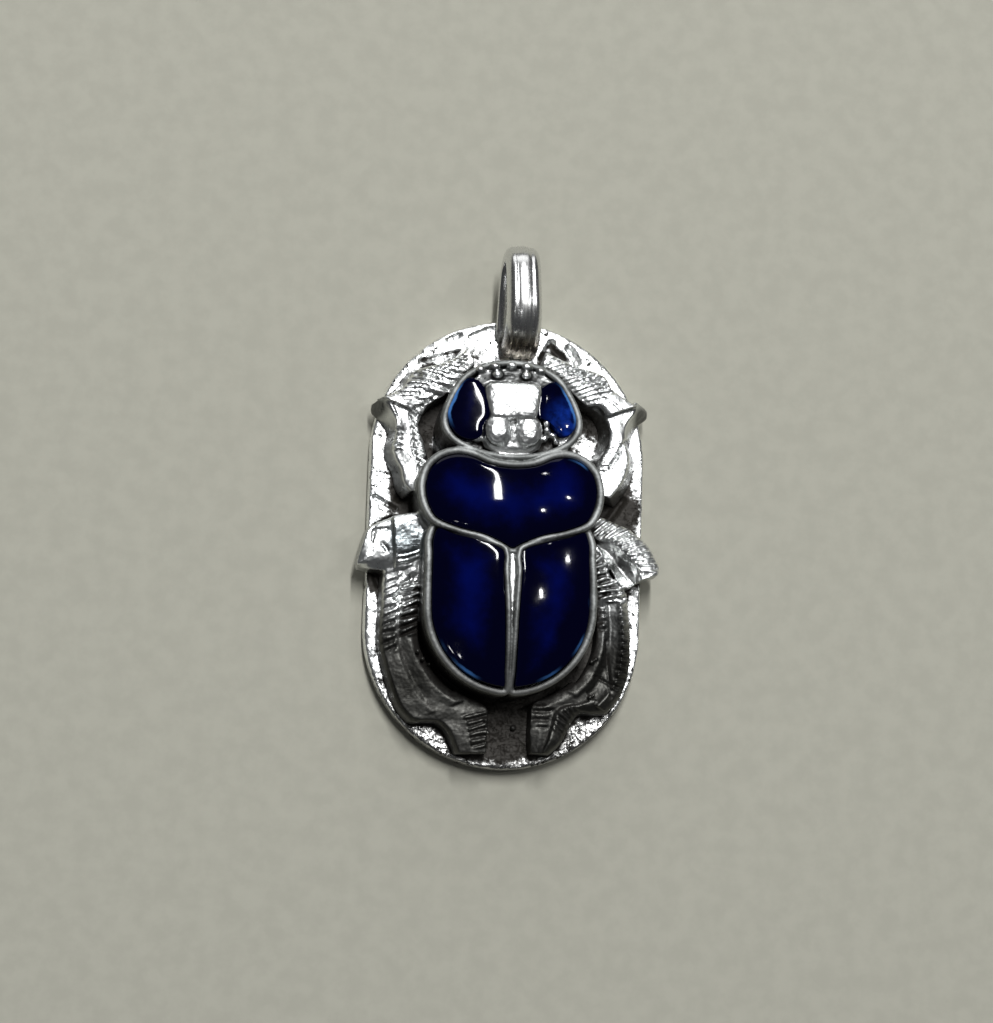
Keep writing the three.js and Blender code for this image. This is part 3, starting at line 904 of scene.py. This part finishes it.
# Round parts of the face: X, Y, height over the crown of the head, and the three half sizes.
FACE_BALLS = [
    # The two bumps, the body under them and the ridge between them.
    (-0.90, 6.25, -0.38, 0.86, 1.05, 0.42), (0.96, 6.25, -0.38, 0.88, 1.05, 0.42),
    (0.03, 5.85, -0.95, 1.95, 1.35, 0.62), (0.03, 6.1, -0.52, 0.10, 0.7, 0.30),
    # Grains beside them.
    (2.07, 6.72, -0.62, 0.24, 0.3, 0.34), (2.1, 6.3, -0.72, 0.26, 0.26, 0.36),
    (2.5, 6.05, -0.85, 0.3, 0.22, 0.3), (2.0, 5.85, -0.95, 0.22, 0.22, 0.3),
    (2.75, 5.65, -1.0, 0.22, 0.2, 0.3), (-2.1, 5.75, -1.0, 0.36, 0.28, 0.36),
    # Teeth along the front edge, and two behind them.
    (-1.95, 9.92, -0.68, 0.34, 0.25, 0.32), (-1.1, 10.12, -0.58, 0.40, 0.25, 0.32),
    (-0.08, 10.20, -0.54, 0.38, 0.25, 0.32), (0.86, 10.16, -0.56, 0.40, 0.25, 0.32),
    (1.72, 9.96, -0.68, 0.34, 0.25, 0.32), (-0.94, 9.60, -0.48, 0.36, 0.28, 0.32),
    (0.8, 9.60, -0.48, 0.34, 0.28, 0.32),
]


# ---- the legs ----

LEVEL = ((0, 0), (1, 0))
# Further down than any band is high: the drawn edge is then brought up to the casting's floor.
WELL_BELOW = 9
BAND_STEP = 0.07
BAND_COLUMN = 0.08


def leg_band(outer, inner, profile, combs=(), fall=LEVEL, spread=(0.3, 0.1), lean=(0, 0), cuts=()):
    """A strip of a leg: laid between two edges, shaped across and along, carved, drawn to the floor.

    The profile gives heights across the strip (0 at the outer edge, 1 at the inner one), and fall what
    is added to them along it. Each comb is a stretch of bristles, spread how far the foot stands out
    past each edge, lean the rise per millimetre along X and Y, and each cut a line, its half width and
    its depth.
    """
    a, b = path(outer, 90), path(inner, 90)
    length = np.linalg.norm(np.diff((a + b)[:, :2] / 2, axis=0), axis=1).sum()
    width = np.linalg.norm(a[:, :2] - b[:, :2], axis=1).mean()
    stations, columns = int(length / BAND_STEP), max(10, int(width / BAND_COLUMN))
    a, b = path(outer, stations), path(inner, stations)
    counts = {"x_subdivisions": columns, "y_subdivisions": stations - 1}
    piece = added(bpy.ops.mesh.primitive_grid_add, size=2, **counts)
    grid = coordinates(piece)
    across = (grid[:, 0] + 1) / 2
    along = (grid[:, 1] + 1) / 2
    station = np.rint(along * (stations - 1)).astype(int)
    flat = a[station, :2] * (1 - across[:, None]) + b[station, :2] * across[:, None]
    height = np.interp(across, *zip(*profile)) + np.interp(along, *zip(*fall))
    hammered = waves(flat, np.random.default_rng(SEED), 8, 5.0, 0.02)
    height += (flat - flat.mean(0)) @ np.array(lean) + hammered
    for index, comb in enumerate(combs):
        height += bristles(along, across, index, *comb)
    for start, end, half, depth in cuts:
        height -= depth * np.clip(1 - line_distance(flat, start, end) / half, 0, 1)
    set_coordinates(piece, np.column_stack([flat, height]))
    draw_out(piece, -WELL_BELOW)
    points = coordinates(piece)
    low = points[:, 2] < 0
    ways = (b - a)[:, :2]
    ways /= np.linalg.norm(ways, axis=1, keepdims=True)
    for edge, side, reach in ((a, -1, spread[0]), (b, 1, spread[1])):
        gaps = np.linalg.norm(points[:, None, :2] - edge[None, :, :2], axis=2)
        touching = low & (gaps.min(1) < 1e-4)
        points[touching, :2] += side * reach * ways[gaps.argmin(1)[touching]]
    points[low, 2] = CASTING_FLOOR
    set_coordinates(piece, points)
    return piece


def bristles(along, across, seed, start, end, low, high, count, slant, depth):
    """Heights of a stretch of bristles: from start to end along a strip, from low to high across it."""
    run = (along - start) / (end - start)
    rise = (across - low) / (high - low)
    turns = run * count + rise * slant + 0.10 * np.sin(1.7 * run * count + 4.0 * rise + seed)
    blade = np.abs(np.cos(np.pi * turns)) ** 1.4
    vary = 0.8 + 0.2 * np.sin(12.9 * np.rint(turns) + 5 * seed)
    inside = fade(run, 0.06) * fade(rise, 0.10)
    return (blade * vary - 0.55) * depth * inside


def fade(share, margin):
    """1 inside the range 0 to 1, falling to 0 at its ends."""
    rise = np.clip(np.minimum(share, 1 - share) / margin, 0, 1)
    return rise * rise * (3 - 2 * rise)


# Profiles: place across a band and height.
FLAT_TOP = [(0, 2.8), (0.06, 2.98), (0.4, 3.1), (0.5, 3.02), (0.6, 3.1), (0.85, 3.05), (1, 2.85)]
SHIN_TOP = [
    (0, 2.75), (0.06, 2.98), (0.3, 3.03), (0.56, 3.05), (0.61, 2.88), (0.67, 3.04), (0.9, 3.02),
    (1, 2.85),
]
PLAIN_TOP = [(0, 2.75), (0.06, 2.98), (0.3, 3.03), (0.6, 3.06), (0.9, 3.04), (1, 2.85)]

# The line between the two rows of the middle right leg.
RIGHT_RIDGE = [
    (4.9, 0.9), (5.3, 0.3), (5.79, 0.05), (6.41, 0.02), (6.94, -0.39), (7.38, -0.86),
    (7.82, -1.24), (8.09, -1.67), (8.14, -2.4),
]

# The bands of the legs, as leg_band takes them.
LEG_BANDS = [
    # Front left thigh.
    dict(
        outer=[(-2.4, 11.75), (-3.0, 11.2), (-4.0, 10.7), (-4.9, 10.45), (-5.55, 10.2), (-6.0, 9.75),
        (-6.3, 9.2), (-6.9, 8.75), (-7.6, 8.45)],
        inner=[(-2.0, 10.6), (-2.6, 10.0), (-3.1, 9.4), (-3.5, 8.95), (-4.02, 8.57), (-4.5, 8.3),
        (-4.83, 8.03), (-5.05, 7.75), (-5.22, 7.39)],
        profile=FLAT_TOP,
        combs=[(0.04, 0.98, 0.02, 0.56, 14, 1.9, 0.44), (0.08, 0.95, 0.55, 1.0, 6, 0.8, 0.24)],
        lean=LIT_LEAN,
        cuts=[((-5.9, 9.85), (-5.5, 9.95), 0.35, 0.4), ((-4.44, 8.54), (-5.85, 7.55), 0.12, 0.25)],
    ),
    # Front left shin.
    dict(
        outer=[(-7.3, 8.45), (-6.9, 7.5), (-6.71, 6.9), (-6.85, 5.98), (-6.99, 5.46), (-6.83, 4.65),
        (-6.51, 4.05), (-6.35, 3.24), (-5.89, 2.6)],
        inner=[(-5.0, 7.9), (-5.22, 7.39), (-5.37, 6.8), (-5.3, 6.3), (-5.1, 5.76), (-4.95, 5.2),
        (-4.85, 4.7), (-4.9, 3.9), (-5.1, 3.0)],
        profile=SHIN_TOP,
        combs=[(0.08, 0.8, 0.62, 1.0, 9, -0.9, 0.36), (0.3, 0.58, 0.0, 0.3, 5, 0.1, 0.4)],
        spread=(0.35, 0.1), lean=LIT_LEAN,
    ),
    # Front left spur.
    dict(
        outer=[(-8.1, 8.25), (-8.12, 7.8), (-7.7, 7.3), (-7.3, 6.9), (-7.1, 6.5)],
        inner=[(-7.3, 8.6), (-7.0, 8.0), (-6.8, 7.5), (-6.68, 7.1), (-6.7, 6.6)],
        profile=[(0, 1.5), (0.3, 2.0), (0.85, 2.8), (1, 2.85)],
        spread=(0.05, 0.0),
    ),
    # Front right thigh.
    dict(
        outer=[(2.5, 11.7), (3.7, 11.1), (4.6, 10.78), (5.4, 10.52), (6.1, 10.2), (6.45, 9.5),
        (7.06, 9.0), (7.99, 8.4)],
        inner=[(2.1, 10.7), (3.1, 10.0), (3.84, 9.29), (4.47, 8.69), (5.0, 8.3), (5.6, 8.3),
        (6.1, 7.7)],
        profile=FLAT_TOP,
        combs=[(0.03, 0.8, 0.02, 0.96, 13, 2.6, 0.4)],
        lean=LIT_LEAN,
        cuts=[((3.9, 10.7), (4.6, 10.35), 0.3, 0.35), ((5.3, 10.1), (5.9, 9.7), 0.3, 0.25)],
    ),
    # Front right shin.
    dict(
        outer=[(8.0, 8.4), (7.36, 7.55), (7.21, 6.93), (7.26, 6.31), (7.53, 5.49), (7.48, 4.56),
        (7.06, 3.51), (6.34, 2.6)],
        inner=[(5.3, 8.3), (6.0, 7.7), (6.25, 7.1), (6.3, 6.5), (6.05, 5.6), (5.65, 5.0), (5.5, 4.3),
        (5.6, 3.4), (5.7, 2.8)],
        profile=PLAIN_TOP,
        combs=[(0.45, 0.8, 0.6, 1.0, 7, -0.6, 0.12)],
        spread=(0.6, 0.4), lean=LIT_LEAN,
        cuts=[((7.24, 6.19), (6.83, 5.35), 0.12, 0.25), ((6.83, 5.35), (6.32, 4.5), 0.12, 0.25)],
    ),
    # Front right spur.
    dict(
        outer=[(8.95, 8.5), (8.9, 8.0), (8.3, 7.5), (8.0, 7.0), (7.9, 6.4)],
        inner=[(7.9, 8.75), (7.75, 8.1), (7.35, 7.5), (7.2, 7.0), (7.25, 6.3)],
        profile=[(0, 1.4), (0.3, 2.0), (0.85, 2.8), (1, 2.85)],
        spread=(0.05, 0.0),
    ),
    # Middle left thigh.
    dict(
        outer=[(-4.9, 1.5), (-5.4, 1.42), (-6.2, 1.3), (-6.9, 1.15)],
        inner=[(-4.9, -1.3), (-5.3, -1.6), (-6.0, -1.95), (-6.7, -2.1)],
        profile=[(0, 2.95), (0.06, 3.12), (0.3, 3.16), (0.6, 3.18), (0.75, 3.12), (0.88, 2.98),
        (1, 2.75)],
        combs=[(0.02, 0.95, 0.72, 1.0, 0.3, 3.2, 0.2)],
        spread=(0.1, 0.1), lean=(0.0, 0.1),
    ),
    # Middle left foot.
    dict(
        outer=[(-6.75, 1.2), (-7.6, 0.85), (-8.33, 0.44), (-8.7, -0.5), (-9.0, -1.6)],
        inner=[(-6.5, -2.1), (-7.2, -2.1), (-7.8, -2.05), (-8.4, -2.0), (-8.95, -1.9)],
        profile=[(0, 2.65), (0.05, 2.78), (0.6, 2.8), (0.72, 2.72), (0.88, 2.5), (1, 2.3)],
        fall=((0, 0), (0.7, -0.05), (1, -0.3)), spread=(0.1, 0.1), lean=(0.06, -0.06),
        cuts=[((-8.1, -0.4), (-8.0, 0.3), 0.1, 0.2), ((-8.0, 0.3), (-7.2, 0.4), 0.1, 0.2),
        ((-7.5, -0.5), (-7.2, -0.9), 0.15, 0.15)],
    ),
    # Middle right upper row.
    dict(
        outer=[(4.9, 1.62), (5.92, 1.55), (6.8, 1.18), (7.51, 0.89), (8.04, 0.51), (8.49, 0.13),
        (8.92, -0.38), (9.19, -0.99), (9.42, -1.5), (9.36, -1.95)],
        inner=RIGHT_RIDGE,
        profile=[(0, 2.7), (0.08, 2.92), (0.5, 3.08), (0.92, 3.04), (1, 2.9)],
        combs=[(0.02, 0.98, 0.0, 0.96, 13, 1.6, 0.5)],
        spread=(0.1, 0.0), lean=(0.05, -0.06),
    ),
    # Middle right hollow.
    dict(
        outer=RIGHT_RIDGE,
        inner=[(4.9, 0.5), (5.2, -0.1), (5.66, -0.35), (5.98, -0.95), (6.42, -1.55), (6.68, -2.06),
        (6.95, -2.5), (7.4, -2.78), (7.9, -2.6)],
        profile=[(0, 2.85), (0.2, 2.5), (0.5, 2.25), (0.8, 2.5), (1, 2.85)],
        spread=(0.0, 0.05),
    ),
    # Middle right lower row.
    dict(
        outer=[(5.66, -0.35), (5.98, -0.95), (6.3, -1.6), (6.5, -2.1), (6.95, -2.55), (7.35, -3.0),
        (7.5, -3.6)],
        inner=[(4.9, -0.6), (4.95, -1.2), (5.0, -1.8), (5.05, -2.3), (5.1, -2.8), (5.3, -3.2),
        (5.5, -3.7)],
        profile=[(0, 2.7), (0.5, 2.88), (1, 2.7)],
        combs=[(0.06, 1.0, 0.04, 0.92, 8, -0.6, 0.62)],
        spread=(0.1, 0.0),
    ),
    # Hind left thigh.
    dict(
        outer=[(-7.3, -1.95), (-7.4, -2.8), (-7.44, -4.2), (-7.53, -5.4), (-7.5, -6.5), (-7.25, -7.6),
        (-6.8, -9.1), (-6.3, -10.3), (-5.6, -11.1)],
        inner=[(-4.95, -1.4), (-5.1, -2.8), (-5.2, -4.2), (-5.25, -5.4), (-5.15, -6.5), (-4.75, -7.5),
        (-4.0, -8.5), (-3.2, -9.2), (-2.2, -9.75)],
        profile=[(0, 2.2), (0.06, 2.45), (0.4, 2.6), (0.5, 2.52), (0.8, 2.7), (1, 2.5)],
        combs=[(0.12, 0.48, 0.5, 1.0, 7, 0.3, 0.55), (0.02, 0.56, 0.0, 0.42, 10, 0.2, 0.24)],
        spread=(0.15, 0.0), cuts=[((-5.6, -2.5), (-6.5, -3.7), 0.35, 0.25)],
    ),
    # Hind left foot.
    dict(
        outer=[(-6.2, -10.4), (-5.5, -11.15), (-4.7, -11.15), (-4.0, -11.2), (-3.45, -11.65),
        (-3.1, -12.3), (-2.8, -13.0)],
        inner=[(-2.9, -9.2), (-2.2, -9.6), (-1.5, -9.9), (-1.0, -10.3), (-0.95, -11.2), (-1.0, -12.1),
        (-1.0, -12.95)],
        profile=[(0, 2.2), (0.1, 2.45), (0.6, 2.6), (1, 2.5)],
        combs=[(0.45, 0.95, 0.5, 1.0, 6, 0.6, 0.3)],
        fall=((0, 0), (0.7, 0), (1, -0.12)), spread=(0.1, 0.05),
    ),
    # Hind right thigh.
    dict(
        outer=[(7.5, -3.0), (7.6, -4.0), (7.72, -5.4), (7.72, -6.9), (7.5, -8.4), (7.05, -9.4),
        (6.3, -10.35)],
        inner=[(5.5, -3.3), (5.62, -4.2), (5.65, -5.4), (5.5, -6.6), (5.1, -7.6), (4.5, -8.5),
        (3.8, -9.1)],
        profile=[(0, 2.35), (0.08, 2.6), (0.25, 2.85), (0.34, 2.62), (0.6, 2.4), (0.8, 2.72),
        (1, 2.55)],
        combs=[(0.02, 0.85, 0.0, 0.32, 14, -0.2, 0.34), (0.0, 0.35, 0.72, 1.0, 5, 0.0, 0.3)],
        spread=(0.15, 0.0),
        cuts=[((5.6, -8.2), (6.9, -8.9), 0.12, 0.2), ((6.2, -6.0), (6.5, -9.5), 0.12, 0.2)],
    ),
    # Hind right foot.
    dict(
        outer=[(6.4, -10.35), (5.4, -10.45), (4.65, -10.45), (4.15, -11.0), (3.8, -11.75), (3.4, -12.4),
        (2.8, -12.95)],
        inner=[(4.2, -8.5), (3.4, -9.1), (2.6, -9.5), (1.8, -9.9), (1.65, -10.9), (1.6, -11.9),
        (1.7, -12.9)],
        profile=[(0, 2.2), (0.1, 2.5), (0.38, 2.75), (0.46, 2.5), (0.7, 2.6), (1, 2.45)],
        combs=[(0.25, 0.72, 0.02, 0.4, 7, 0.8, 0.24), (0.42, 0.72, 0.5, 1.0, 3, -1.0, 0.24)],
        fall=((0, 0), (0.8, 0), (1, -0.2)), spread=(0.1, 0.05),
    ),
]

# Grains of silver left between the legs and the wings: X, Y, height and half size.
GRAINS = [
    (-5.3, -7.0, 2.95, 0.17), (-5.0, -7.45, 2.9, 0.17), (-4.6, -7.75, 2.85, 0.12),
    (-1.1, -11.0, 2.6, 0.14), (-0.98, -11.75, 2.55, 0.14), (5.3, -7.35, 2.75, 0.16),
    (5.55, -7.15, 2.75, 0.12), (5.2, -9.5, 2.7, 0.14), (5.45, -9.35, 2.7, 0.1),
    (5.2, -2.2, 2.9, 0.14), (5.25, -3.9, 2.8, 0.14), (0.75, -11.3, 1.35, 0.2),
]


# ---- the casting and its enamel ----

WING_KNOTS = {"right": WING_WIRE, "left": flipped(WING_WIRE)}


def seam_filling():
    """The web between the two wings, a little below their wires."""
    sections = []
    for y, half in [(-0.9, 0.3), (-2.4, 0.3), (-4.2, 0.25), (-6.4, 0.2), (-8.2, 0.2), (-9.4, 0.2)]:
        top = dome_z(WING_DOME, 0, y) - 0.42
        sections.append([(-half, y, 3.0), (half, y, 3.0), (half, y, top), (-half, y, top)])
    return bar_of_sections(sections)


def make_casting():
    """Beetle and legs in one: every part is run into one skin."""
    parts = [
        skirt(HEAD_WIRE, HEAD_DOME, 120),
        skirt(THORAX_WIRE, THORAX_DOME, 160),
        core(HEAD_WIRE, HEAD_DOME, 100, 1.35),
        core(THORAX_WIRE, THORAX_DOME, 120, 1.9),
    ]
    for knots in WING_KNOTS.values():
        parts.append(skirt(knots, WING_DOME, 180))
        parts.append(core(knots, WING_DOME, 140, 2.4))
    parts += face_of_the_beetle() + [seam_filling()]
    parts += [ball((x, y, z), (size, size, size), 10) for x, y, z, size in GRAINS]
    parts += [leg_band(**band) for band in LEG_BANDS]
    piece = thinned(cast(join(parts), CASTING_VOXEL, 3), CASTING_TRIANGLES)
    mark_hollows(piece, 0.12, 14)
    mark_shelter(piece, [piece], 16, 3.0)
    return place_in_beetle(piece)


def make_wires():
    """The wires that fence the cells, run into one another where they meet."""
    parts = [wire(HEAD_WIRE, HEAD_DOME, 170), wire(THORAX_WIRE, THORAX_DOME, 220)]
    parts += [wire(knots, WING_DOME, 260) for knots in WING_KNOTS.values()]
    piece = thinned(cast(join(parts), WIRE_VOXEL, 6), WIRE_TRIANGLES)
    mark_hollows(piece, 0.06, 14)
    place_in_beetle(piece)
    finish(piece, "cell_wires", wire_silver(), "cast_silver", "scarab_casting")


ENAMEL_SHOULDER = 0.5
# The slab that becomes a pad: its height, and how far under the pad's top it starts.
SLAB_HEIGHT = 1.0
SLAB_DROP = 1.3
# How far in from its wire a pad still counts as edge.
EDGE_REACH = 2.0


def enamel_pad(outline, form, fall):
    """A domed fill: a slab run into even faces, its top laid over a low dome that falls at the edge."""
    bottom = form(outline[:, 0], outline[:, 1]).min() - SLAB_DROP
    piece = prism(outline, bottom, bottom + SLAB_HEIGHT)
    run_together(piece, SLAB_VOXEL)
    points = coordinates(piece)
    inset = edge_distance(points, outline)
    close = np.clip(1 - inset / ENAMEL_SHOULDER, 0, 1)
    top = points[:, 2] > bottom + SLAB_HEIGHT / 2
    lifted = form(points[:, 0], points[:, 1]) - fall * close**3
    points[:, 2] = np.where(top, lifted, points[:, 2])
    set_coordinates(piece, points)
    point_attribute(piece, "edge", np.clip(1 - inset / EDGE_REACH, 0, 1))
    return piece


def edge_distance(points, outline):
    """How far each point lies from a closed line, seen from above."""
    ring = outline[:, :2]
    stretches = zip(ring, np.roll(ring, -1, 0))
    return np.minimum.reduce([line_distance(points, start, end) for start, end in stretches])


def lobe_form(dome, recess):
    """The height of an enamel that keeps to its lobe's dome."""
    return lambda x, y: dome_z(dome, x, y) - recess


def wing_form(recess, crest):
    """The height of a wing's enamel: a dome from the seam outwards, highest at the crest along Y."""
    crown = WING_DOME[0] - recess
    return lambda x, y: crown - 0.015 * np.abs(x) - 0.0286 * x * x - 0.018 * (y - crest) ** 2


CHEEKS = {
    "left": [
        (-2.93, 9.33), (-2.2, 9.36), (-1.84, 8.93), (-1.5, 8.32), (-1.41, 7.6), (-1.48, 6.99),
        (-1.8, 6.5), (-1.95, 5.8), (-2.62, 5.6), (-3.4, 5.95), (-3.86, 6.8), (-3.9, 7.3),
        (-3.62, 8.0), (-3.3, 8.75),
    ],
    "right": [
        (1.95, 9.0), (2.6, 9.4), (3.0, 9.12), (3.35, 8.5), (3.7, 7.7), (3.88, 7.0), (3.75, 6.4),
        (3.4, 6.08), (2.99, 6.05), (2.58, 6.48), (2.17, 6.84), (1.6, 7.09), (1.52, 7.6),
        (1.66, 8.21), (1.66, 8.72),
    ],
}


def make_enamel():
    """A pad for each cell. All share one glaze."""
    glaze = cobalt_enamel()
    wings = {side: cell_line(knots, 160, -0.06) for side, knots in WING_KNOTS.items()}
    pads = {
        "enamel_thorax": (cell_line(THORAX_WIRE, 160, -0.06), lobe_form(THORAX_DOME, 0.08), 0.05),
        "enamel_wing_left": (wings["left"], wing_form(0.08, -1.9), 0.03),
        "enamel_wing_right": (wings["right"], wing_form(0.08, -2.6), 0.03),
        "enamel_cheek_left": (loop(CHEEKS["left"], 90), lobe_form(LEFT_CHEEK_DOME, 0.12), 0.03),
        "enamel_cheek_right": (loop(CHEEKS["right"], 90), lobe_form(HEAD_DOME, 0.1), 0.04),
    }
    for node, (outline, form, fall) in pads.items():
        pad = place_in_beetle(enamel_pad(outline, form, fall))
        finish(pad, node + "_pad", glaze, "cobalt_enamel", node)


# ---- the bail ----

# The loop's middle line from the side (Y, Z), from its low foot to the one behind the head.
BAIL_ROUTE = [
    (12.95, 1.78), (14.4, 1.85), (15.8, 2.02), (17.0, 2.5), (17.52, 3.4), (17.0, 4.3), (15.6, 4.75),
    (14.0, 4.85), (12.9, 4.4), (12.2, 3.4), (11.95, 1.26),
]
BAIL_THICK = 1.05
BAIL_X = (BAIL_LOW.x + BAIL_HIGH.x) / 2
BAIL_WIDE = BAIL_HIGH.x - BAIL_LOW.x
BAIL_FAR_WIDE = BAIL_WIDE * 0.9
BAIL_LEAN = 0.4
# Half of the strap's section: across (share of width) and up (share of thickness).
STRAP_HALF = [
    (0.46, 0.04), (0.5, 0.16), (0.5, 0.42), (0.47, 0.62), (0.42, 0.78), (0.36, 0.89), (0.30, 0.94),
    (0.255, 0.945), (0.225, 0.925), (0.195, 0.93), (0.155, 0.965), (0.1, 0.99), (0.04, 1.0),
]


def make_bail():
    """A ribbed strap bent into a loop."""
    route = path(BAIL_ROUTE, 110)
    heading = np.gradient(route, axis=0)
    heading /= np.linalg.norm(heading, axis=1, keepdims=True)
    sections = []
    for index, ((y, z), (dy, dz)) in enumerate(zip(route, heading)):
        narrowing = math.sin(math.pi * index / (len(route) - 1))
        width = BAIL_WIDE + (BAIL_FAR_WIDE - BAIL_WIDE) * narrowing
        right = [(across * width, (up - 0.5) * BAIL_THICK) for across, up in STRAP_HALF]
        left = [(-across, up) for across, up in reversed(right)]
        middle = BAIL_X + BAIL_LEAN * (index / (len(route) - 1)) ** 3
        section = [(middle + across, y + up * dz, z - up * dy) for across, up in (*right, *left)]
        sections.append(section)
    piece = bar_of_sections(sections)
    modify(piece, "SUBSURF", levels=1, render_levels=1)
    mark_hollows(piece, 0.05, 10)
    finish(piece, "ribbed_bail", bail_silver(), "bail_silver", "bail")


# ---- floor, lights and camera ----

# Metres, like all sizes in this section.
FLOOR_SIZE = 3.0
FLOOR_DROP = 0.00002


def make_floor():
    """A floor that lies a hair under the pendant."""
    floor = added(bpy.ops.mesh.primitive_plane_add, size=FLOOR_SIZE, location=(0, 0, -FLOOR_DROP))
    floor.name = "floor"
    floor.data.materials.append(studio_floor())


LIT_PLACE = Vector((0, 0.001, 0.004))


def light_from(name, direction, distance, size, power):
    """A soft light that hangs in a direction from the pendant, turned to face it."""
    data = bpy.data.lights.new(name, "AREA")
    data.shape = "RECTANGLE"
    data.size, data.size_y = size
    data.energy = power
    light = bpy.data.objects.new(name, data)
    bpy.context.scene.collection.objects.link(light)
    light.location = Vector(direction).normalized() * distance
    light.rotation_euler = (LIT_PLACE - light.location).to_track_quat("-Z", "Y").to_euler()
    return light


def make_lights():
    """A dim sky, a long strip and a window behind the head, and small spots."""
    world = bpy.data.worlds.new("studio_air")
    bpy.context.scene.world = world
    world.use_nodes = True
    sky = world.node_tree.nodes["Background"].inputs
    sky["Color"].default_value = (0.95, 0.97, 1.0, 1)
    sky["Strength"].default_value = 0.05
    strip = light_from("strip", (0.015, 0.422, 0.906), 0.50, (0.021, 0.285), 2.0)
    strip.rotation_euler.rotate_axis("Z", math.radians(6.0))
    light_from("window", (-0.1, 0.93, 0.42), 0.60, (0.60, 0.22), 0.6)
    for index, (direction, power) in enumerate(SPOTS):
        light_from(f"spot_{index}", direction, 0.50, (0.01, 0.01), power)


# Small lights that leave dots on the enamel: direction and power.
SPOTS = [
    ((0.538, 0.230, 0.811), 0.10), ((0.372, 0.074, 0.925), 0.10), ((0.350, 0.480, 0.80), 0.03),
    ((-0.33, -0.29, 0.897), 0.02), ((-0.24, -0.28, 0.942), 0.02),
]

VIEW_DISTANCE = 0.2
VIEW_LEFT = math.radians(8.5)
VIEW_DOWN = math.radians(10.0)
VIEW_ROLL = math.radians(1.8)
VIEW_TARGET = Vector((-0.00042, 0.00213, 0.0))
# Millimetres, as a camera's are.
SENSOR_WIDTH = 36
FOCAL_LENGTH = 114.7214


def make_camera():
    """Nearly overhead, leaning a little to the left and to the foot of the pendant."""
    data = bpy.data.cameras.new("camera")
    camera = bpy.data.objects.new("camera", data)
    bpy.context.scene.collection.objects.link(camera)
    data.lens = FOCAL_LENGTH
    data.sensor_width = SENSOR_WIDTH
    data.clip_start = 0.005
    back = Vector((-math.tan(VIEW_LEFT), -math.tan(VIEW_DOWN), 1.0)).normalized()
    ahead = Vector((0, 1, 0))
    level_up = (ahead - ahead.dot(back) * back).normalized()
    up = level_up * math.cos(VIEW_ROLL) - level_up.cross(back) * math.sin(VIEW_ROLL)
    turn = Matrix((up.cross(back), up, back)).transposed().to_4x4()
    camera.matrix_world = Matrix.Translation(VIEW_TARGET + back * VIEW_DISTANCE) @ turn
    bpy.context.scene.camera = camera


# ---- all together ----

make_camera()
make_lights()
make_floor()
casting = make_casting()
make_plate(casting)
finish(casting, "scarab_and_legs", cast_silver(), "cast_silver", "scarab_casting")
make_wires()
make_enamel()
make_bail()

bpy.context.scene.view_settings.view_transform = "Standard"
